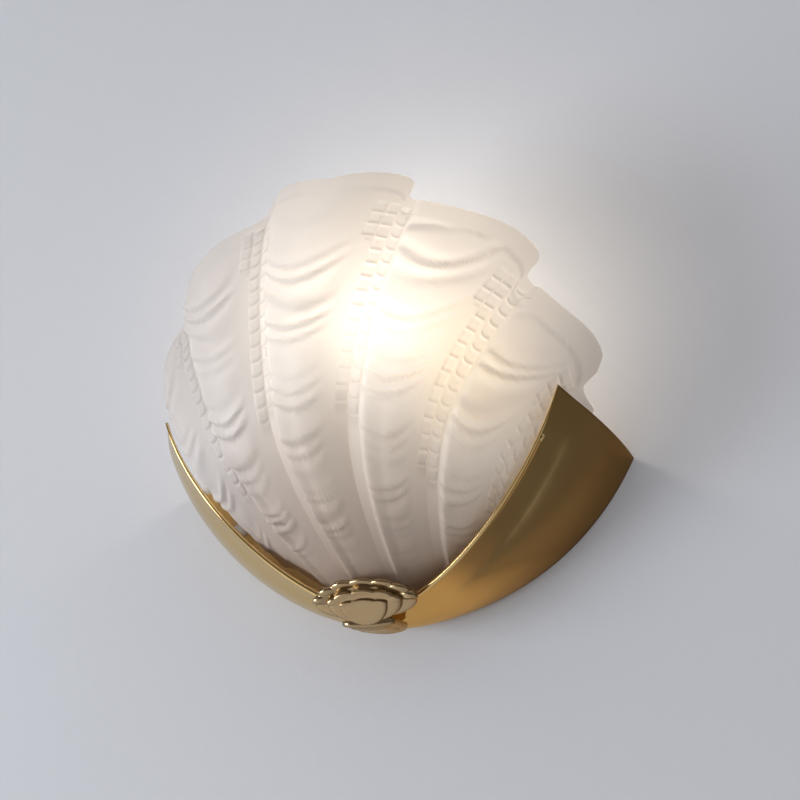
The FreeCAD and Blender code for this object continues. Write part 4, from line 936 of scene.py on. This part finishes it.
def glow_light(group, enter):
    """Painted light: Colour times Strength within 20 mm of Centre, falling to 0 at Radius metres."""
    distance = group.nodes.new("ShaderNodeVectorMath")
    distance.operation = "DISTANCE"
    put(where(group), distance.inputs[0])
    put(enter["Centre"], distance.inputs[1])
    strength = map_range(group, distance.outputs["Value"], 0.02, enter["Radius"],
                         enter["Strength"], 0.0, "SMOOTHSTEP")
    return scaled(group, enter["Colour"], strength)


WHITE = (1, 1, 1, 1)
BUMP = shader_group("cloud bump", [("Scale", FLOAT, 500.0), ("Distance", FLOAT, 0.0001)],
                    VECTOR, cloud_bump)
TONES = shader_group("two tone", [("Scale", FLOAT, 30.0), ("First", COLOUR, WHITE),
                                  ("Second", COLOUR, WHITE)], COLOUR, two_tone)
WANDER = shader_group("wander", [("Scale", FLOAT, 30.0), ("Low", FLOAT, 0.0), ("High", FLOAT, 1.0)],
                      FLOAT, cloud_value)
GLOW = shader_group("glow", [("Centre", VECTOR, (0, 0, 0)), ("Radius", FLOAT, 0.1),
                             ("Colour", VECTOR, (1, 1, 1)), ("Strength", FLOAT, 1.0)], COLOUR, glow_light)


def principled(name, tones, rough, grain, constants):
    """A new material: cloudy tones, a wandering roughness, a grain, and constants by socket name.

    tones are scale and two colours, rough is scale, low and high, grain is scale and height in metres.
    """
    material = bpy.data.materials.new(name)
    material.use_nodes = True
    tree = material.node_tree
    sockets = tree.nodes["Principled BSDF"].inputs
    put(use_group(tree, TONES, Scale=tones[0], First=rgba(tones[1]), Second=rgba(tones[2])),
        sockets["Base Color"])
    put(use_group(tree, WANDER, Scale=rough[0], Low=rough[1], High=rough[2]), sockets["Roughness"])
    put(use_group(tree, BUMP, Scale=grain[0], Distance=grain[1]), sockets["Normal"])
    for key, value in constants.items():
        sockets[key].default_value = value
    return material, tree, sockets


def see_through(tree, share, colour=WHITE):
    """Mixes the material's shader with a clear one by share."""
    clear = tree.nodes.new("ShaderNodeBsdfTransparent")
    clear.inputs["Color"].default_value = colour
    mix = tree.nodes.new("ShaderNodeMixShader")
    shader = tree.nodes["Principled BSDF"]
    for socket, part in zip(mix.inputs, (share, shader.outputs[0], clear.outputs[0])):
        put(part, socket)
    put(mix.outputs[0], tree.nodes["Material Output"].inputs["Surface"])


def finish(name, colour, metallic, rough, grain=(600.0, 0.00002), tone=(25.0, 0.88), coat=0.0):
    """A finish: a colour and a darker tone of it, a roughness between two values, and a grain."""
    scale, darker = tone
    tones = (scale, colour, [part * darker for part in colour])
    constants = {"Metallic": metallic, "Coat Weight": coat}
    return principled(name, tones, (scale * 2, *rough), grain, constants)[0]


def paint(material, *objects):
    """Gives each object this one material."""
    for obj in objects:
        obj.data.materials.clear()
        obj.data.materials.append(material)


print("shared recipes:", [group.name for group in (BUMP, TONES, WANDER, GLOW)])

# %% Metals and plastics
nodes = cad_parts
brass = finish("polished brass", (0.83, 0.60, 0.27), 1.0, (0.10, 0.17), (900.0, 0.000004), (18.0, 0.93),
               coat=0.3)
cast_brass = finish("cast brass", (0.50, 0.365, 0.21), 1.0, (0.16, 0.28), (700.0, 0.00003), (60.0, 0.85))
nickel = finish("nickel", (0.72, 0.71, 0.68), 1.0, (0.16, 0.26))
white = finish("white plastic", (0.86, 0.86, 0.84), 0.0, (0.28, 0.36), (900.0, 0.00001), (20.0, 0.97))
black = finish("black plastic", (0.025, 0.025, 0.028), 0.0, (0.3, 0.4), (900.0, 0.00002), (20.0, 0.8))
paint(brass, *cheeks, nodes["cap_nuts"])
paint(cast_brass, boss_foot, *tiers)
paint(nickel, cap, nodes["bulb_tip"])
paint(white, collar, nodes["terminal_block"])
paint(black, sleeve, cup, nodes["bulb_insulator"])
for material, names in (
        (finish("plain brass", (0.78, 0.60, 0.30), 1.0, (0.25, 0.4)),
         "holder_nipple lock_nut screw_shell centre_contact terminal_screws earth_screw"),
        (finish("zinc", (0.68, 0.69, 0.71), 1.0, (0.28, 0.42), (800.0, 0.00002), (90.0, 0.8)),
         "wall_bracket bracket_studs stud_washers lamp_bracket leg_screws leg_nuts block_screw boss_stud "
         "seam_saddle boss_nut"),
        (finish("plated plate", (0.70, 0.62, 0.46), 1.0, (0.3, 0.42)), "back_plate"),
        (finish("silicone", (0.75, 0.76, 0.75), 0.0, (0.45, 0.6)), "glass_pads"),
        (finish("rubber", (0.02, 0.02, 0.02), 0.0, (0.55, 0.7)), "cable_grommet"),
        (finish("brown wire", (0.17, 0.07, 0.03), 0.0, (0.4, 0.5)), "live_wire"),
        (finish("blue wire", (0.03, 0.10, 0.42), 0.0, (0.4, 0.5)), "neutral_wire"),
        (finish("green wire", (0.12, 0.40, 0.05), 0.0, (0.4, 0.5)), "earth_wire"),
        (finish("board", (0.8, 0.8, 0.79), 0.0, (0.4, 0.5)), "led_board")):
    paint(material, *[nodes[name] for name in names.split()])
print("brass:", brass.name, "and", cast_brass.name)

# %% [markdown]
# ## Frosted glass and the lit bulb
#
# The white spot is the lit dome, seen through the rough glass, which lets shadow rays through tinted. A
# faint painted glow stands in for light that scatters in the frosted skin, for which the path tracer
# would need too long, and a second, orange one for light from the brass. Low down, painted brass-coloured
# light warms the glass, and the point attribute "light" paints shade on its relief.

# %% Glass and bulb materials
GLASS_TONES = (9.0, (0.82, 0.80, 0.79), (0.76, 0.73, 0.72))
GLASS_SHADOW = (0.20, 0.165, 0.14)     # what is left of the lamp's light behind the glass
# painted light: the brass cradle's warm colour laid over the low part of the glass
BRASS_LIGHT_TINT = (0.74, 0.61, 0.50)
TINT_SPAN = (0.45, 0.05)               # share of the bowl's height where the tint starts and is full
# how far the painted relief shade darkens and lightens the glass colour and its painted glow
PAINTED_SHADE_ON_COLOUR = (0.80, 1.10)
PAINTED_SHADE_ON_GLOW = (0.55, 1.25)
# painted glows on the glass: the lamp's light scattered in the frosted skin, and orange light from the
# brass cradle on the lower right
LAMP_GLOW = dict(Centre=(0.038, -0.090, 0.100), Radius=0.155, Colour=(1.0, 0.88, 0.70), Strength=0.36)
PAINTED_BRASS_GLOW = dict(Centre=(0.070, -0.095, 0.065), Radius=0.060, Colour=(1.0, 0.60, 0.02), Strength=0.10)
DOME_TONES = (20.0, (0.95, 0.94, 0.90), (0.92, 0.90, 0.86))
DOME_COLOUR = (1.0, 0.90, 0.74)
DOME_STRENGTH = 10.0


def point_attribute(tree, name):
    """A value stored on the mesh's points."""
    attribute = tree.nodes.new("ShaderNodeAttribute")
    attribute.attribute_name = name
    return attribute.outputs["Fac"]


def glass_material():
    """Frosted glass: rough transmission, cloudy roughness, painted relief shade, painted glows, painted
    brass-coloured light low down, and a see-through for shadow rays.
    """
    constants = {"Transmission Weight": 0.4, "IOR": 1.45}
    material, tree, sockets = principled("frosted glass", GLASS_TONES, (16.0, 0.60, 0.70),
                                         (1100.0, 0.00004), constants)
    cloudy = sockets["Base Color"].links[0].from_socket
    # painted brass-coloured light, growing from 45 % of the bowl's height to full near its bottom
    low = map_range(tree, point_attribute(tree, "up_share"), *TINT_SPAN)
    warm = mix_colours(tree, low, cloudy, rgba(BRASS_LIGHT_TINT), "MULTIPLY")
    light = point_attribute(tree, "light")
    shaded = scaled(tree, warm, map_range(tree, light, 0.0, 1.0, *PAINTED_SHADE_ON_COLOUR))
    put(shaded, sockets["Base Color"])
    both = tree.nodes.new("ShaderNodeVectorMath")
    for index, glow in enumerate((LAMP_GLOW, PAINTED_BRASS_GLOW)):
        put(use_group(tree, GLOW, **glow), both.inputs[index])
    put(both.outputs["Vector"], sockets["Emission Color"])
    put(map_range(tree, light, 0.0, 1.0, *PAINTED_SHADE_ON_GLOW), sockets["Emission Strength"])
    see_through(tree, ray_is(tree, "Is Shadow Ray"), rgba(GLASS_SHADOW))
    return material


def bulb_material():
    """Opal dome, lit: it glows and lets the lamp's light out."""
    constants = {"Emission Color": rgba(DOME_COLOUR), "Emission Strength": DOME_STRENGTH}
    material, tree, _ = principled("opal dome", DOME_TONES, (20.0, 0.3, 0.4), (500.0, 0.00001), constants)
    see_through(tree, ray_is(tree, "Is Shadow Ray"))
    return material


paint(glass_material(), glass)
paint(bulb_material(), dome)

# %% [markdown]
# ## Stage
#
# A pale wall behind, a pale floor far below, soft daylight from the left and front, and the lamp's own
# light. From behind, the wall is see-through, so the back of the light can be looked at too.

# %% Wall and floor
def stage_plane(name, size, place, turn):
    """A square plane for the stage."""
    corners = np.array([(-1, -1, 0), (1, -1, 0), (1, 1, 0), (-1, 1, 0)]) * size / 2
    obj = new_mesh(name, corners, [(0, 1, 2, 3)])
    obj.location = place
    obj.rotation_euler = turn
    return obj


# what polished metal sees of the wall, from left to right of the light: pale, amber, then a dark room
MIRRORED_WALL = [(0.10, (0.50, 0.50, 0.50)), (0.25, (0.58, 0.45, 0.27)), (0.38, (0.62, 0.45, 0.27)),
                 (0.52, (0.24, 0.17, 0.11)), (0.80, (0.13, 0.10, 0.075))]
MIRRORED_SPAN = (-0.1, 0.3)            # x in metres that the positions 0 and 1 stand for


def wall_material():
    """Pale lavender-grey plaster, see-through from behind and darker in the polished metal."""
    material = finish("plaster", (0.62, 0.635, 0.675), 0.0, (0.7, 0.8), (140.0, 0.0002), (3.0, 0.97))
    tree = material.node_tree
    base = tree.nodes["Principled BSDF"].inputs["Base Color"]
    plain = base.links[0].from_socket
    seen = colour_ramp(tree, map_range(tree, coordinate(tree, "X"), *MIRRORED_SPAN), MIRRORED_WALL)
    put(mix_colours(tree, ray_is(tree, "Is Glossy Ray"), plain, seen), base)
    see_through(tree, tree.nodes.new("ShaderNodeNewGeometry").outputs["Backfacing"])
    return material


WALL_GAP = 0.0006                      # keeps the wall clear of the faces that lie on it
wall = stage_plane("wall", 5.0, (0, WALL_GAP, 0.3), (math.radians(90), 0, 0))
floor = stage_plane("floor", 6.0, (0, -2.0, -1.6), (0, 0, 0))
paint(wall_material(), wall)
paint(finish("floor paint", (0.62, 0.60, 0.58), 0.0, (0.6, 0.7), (200.0, 0.0001), (3.0, 0.97)), floor)
print("stage:", wall.name, floor.name)

# %% Light
WINDOW = Vector((-2.3, -1.6, -0.5))
WINDOW_POWER, WINDOW_SIZE = 46, 1.2
LAMP_PLACE = Vector((*LAMP, 118.0)) / 1000    # inside the dome
LAMP_POWER, LAMP_RADIUS = 0.05, 0.024
ROOM_STRENGTH = 0.55
SKY = [(0.3, (0.42, 0.41, 0.42)), (0.75, (1.25, 1.25, 1.28))]
MIRRORED_ROOM = [(0.15, (0.55, 0.45, 0.33)), (0.45, (0.10, 0.085, 0.07)), (0.9, (0.5, 0.5, 0.52))]


def stage_light(name, kind, place, power, colour):
    """A light for the stage."""
    data = bpy.data.lights.new(name, kind)
    data.energy = power
    data.color = colour
    obj = bpy.data.objects.new(name, data)
    obj.location = place
    bpy.context.collection.objects.link(obj)
    return obj


window = stage_light("window", "AREA", WINDOW, WINDOW_POWER, (0.95, 0.97, 1.0))
window.data.size = WINDOW_SIZE
window.rotation_euler = (-WINDOW).to_track_quat("-Z", "Y").to_euler()
lamp = stage_light("lamp", "POINT", LAMP_PLACE, LAMP_POWER, (1.0, 0.86, 0.66))
lamp.data.shadow_soft_size = LAMP_RADIUS


def build_world():
    """Pale for the camera and as light; polished metal sees a darker, warmer room."""
    world = bpy.data.worlds.new("room")
    bpy.context.scene.world = world
    world.use_nodes = True
    tree = world.node_tree
    height = map_range(tree, coordinate(tree, "Z", "Generated"), -1.0, 1.0)
    colour = mix_colours(tree, ray_is(tree, "Is Glossy Ray"), colour_ramp(tree, height, SKY),
                         colour_ramp(tree, height, MIRRORED_ROOM))
    background = tree.nodes["Background"].inputs
    put(colour, background["Color"])
    put(ROOM_STRENGTH, background["Strength"])


build_world()
print("lights:", window.name, lamp.name)

# %% [markdown]
# ## Camera
#
# The camera stands to the right and a little below, and looks up at the light.

# %% Camera
LENS = 88.85                  # focal length in millimetres, on a 36 mm sensor
CAMERA = Vector((0.477487, -1.134690, -0.215854))
AZIMUTH = math.radians(22.994)
ELEVATION = math.radians(13.376)
back = Vector((math.sin(AZIMUTH) * math.cos(ELEVATION), -math.cos(AZIMUTH) * math.cos(ELEVATION),
               -math.sin(ELEVATION)))
right = Vector((0, 0, 1)).cross(back).normalized()
up = back.cross(right)
camera_data = bpy.data.cameras.new("camera")
camera_data.sensor_width = 36
camera_data.lens = LENS
camera = bpy.data.objects.new("camera", camera_data)
camera.matrix_world = Matrix.Translation(CAMERA) @ Matrix((right, up, back)).transposed().to_4x4()
bpy.context.collection.objects.link(camera)
bpy.context.scene.camera = camera
bpy.context.scene.view_settings.view_transform = "Standard"
print("camera at", tuple(round(part, 3) for part in CAMERA))
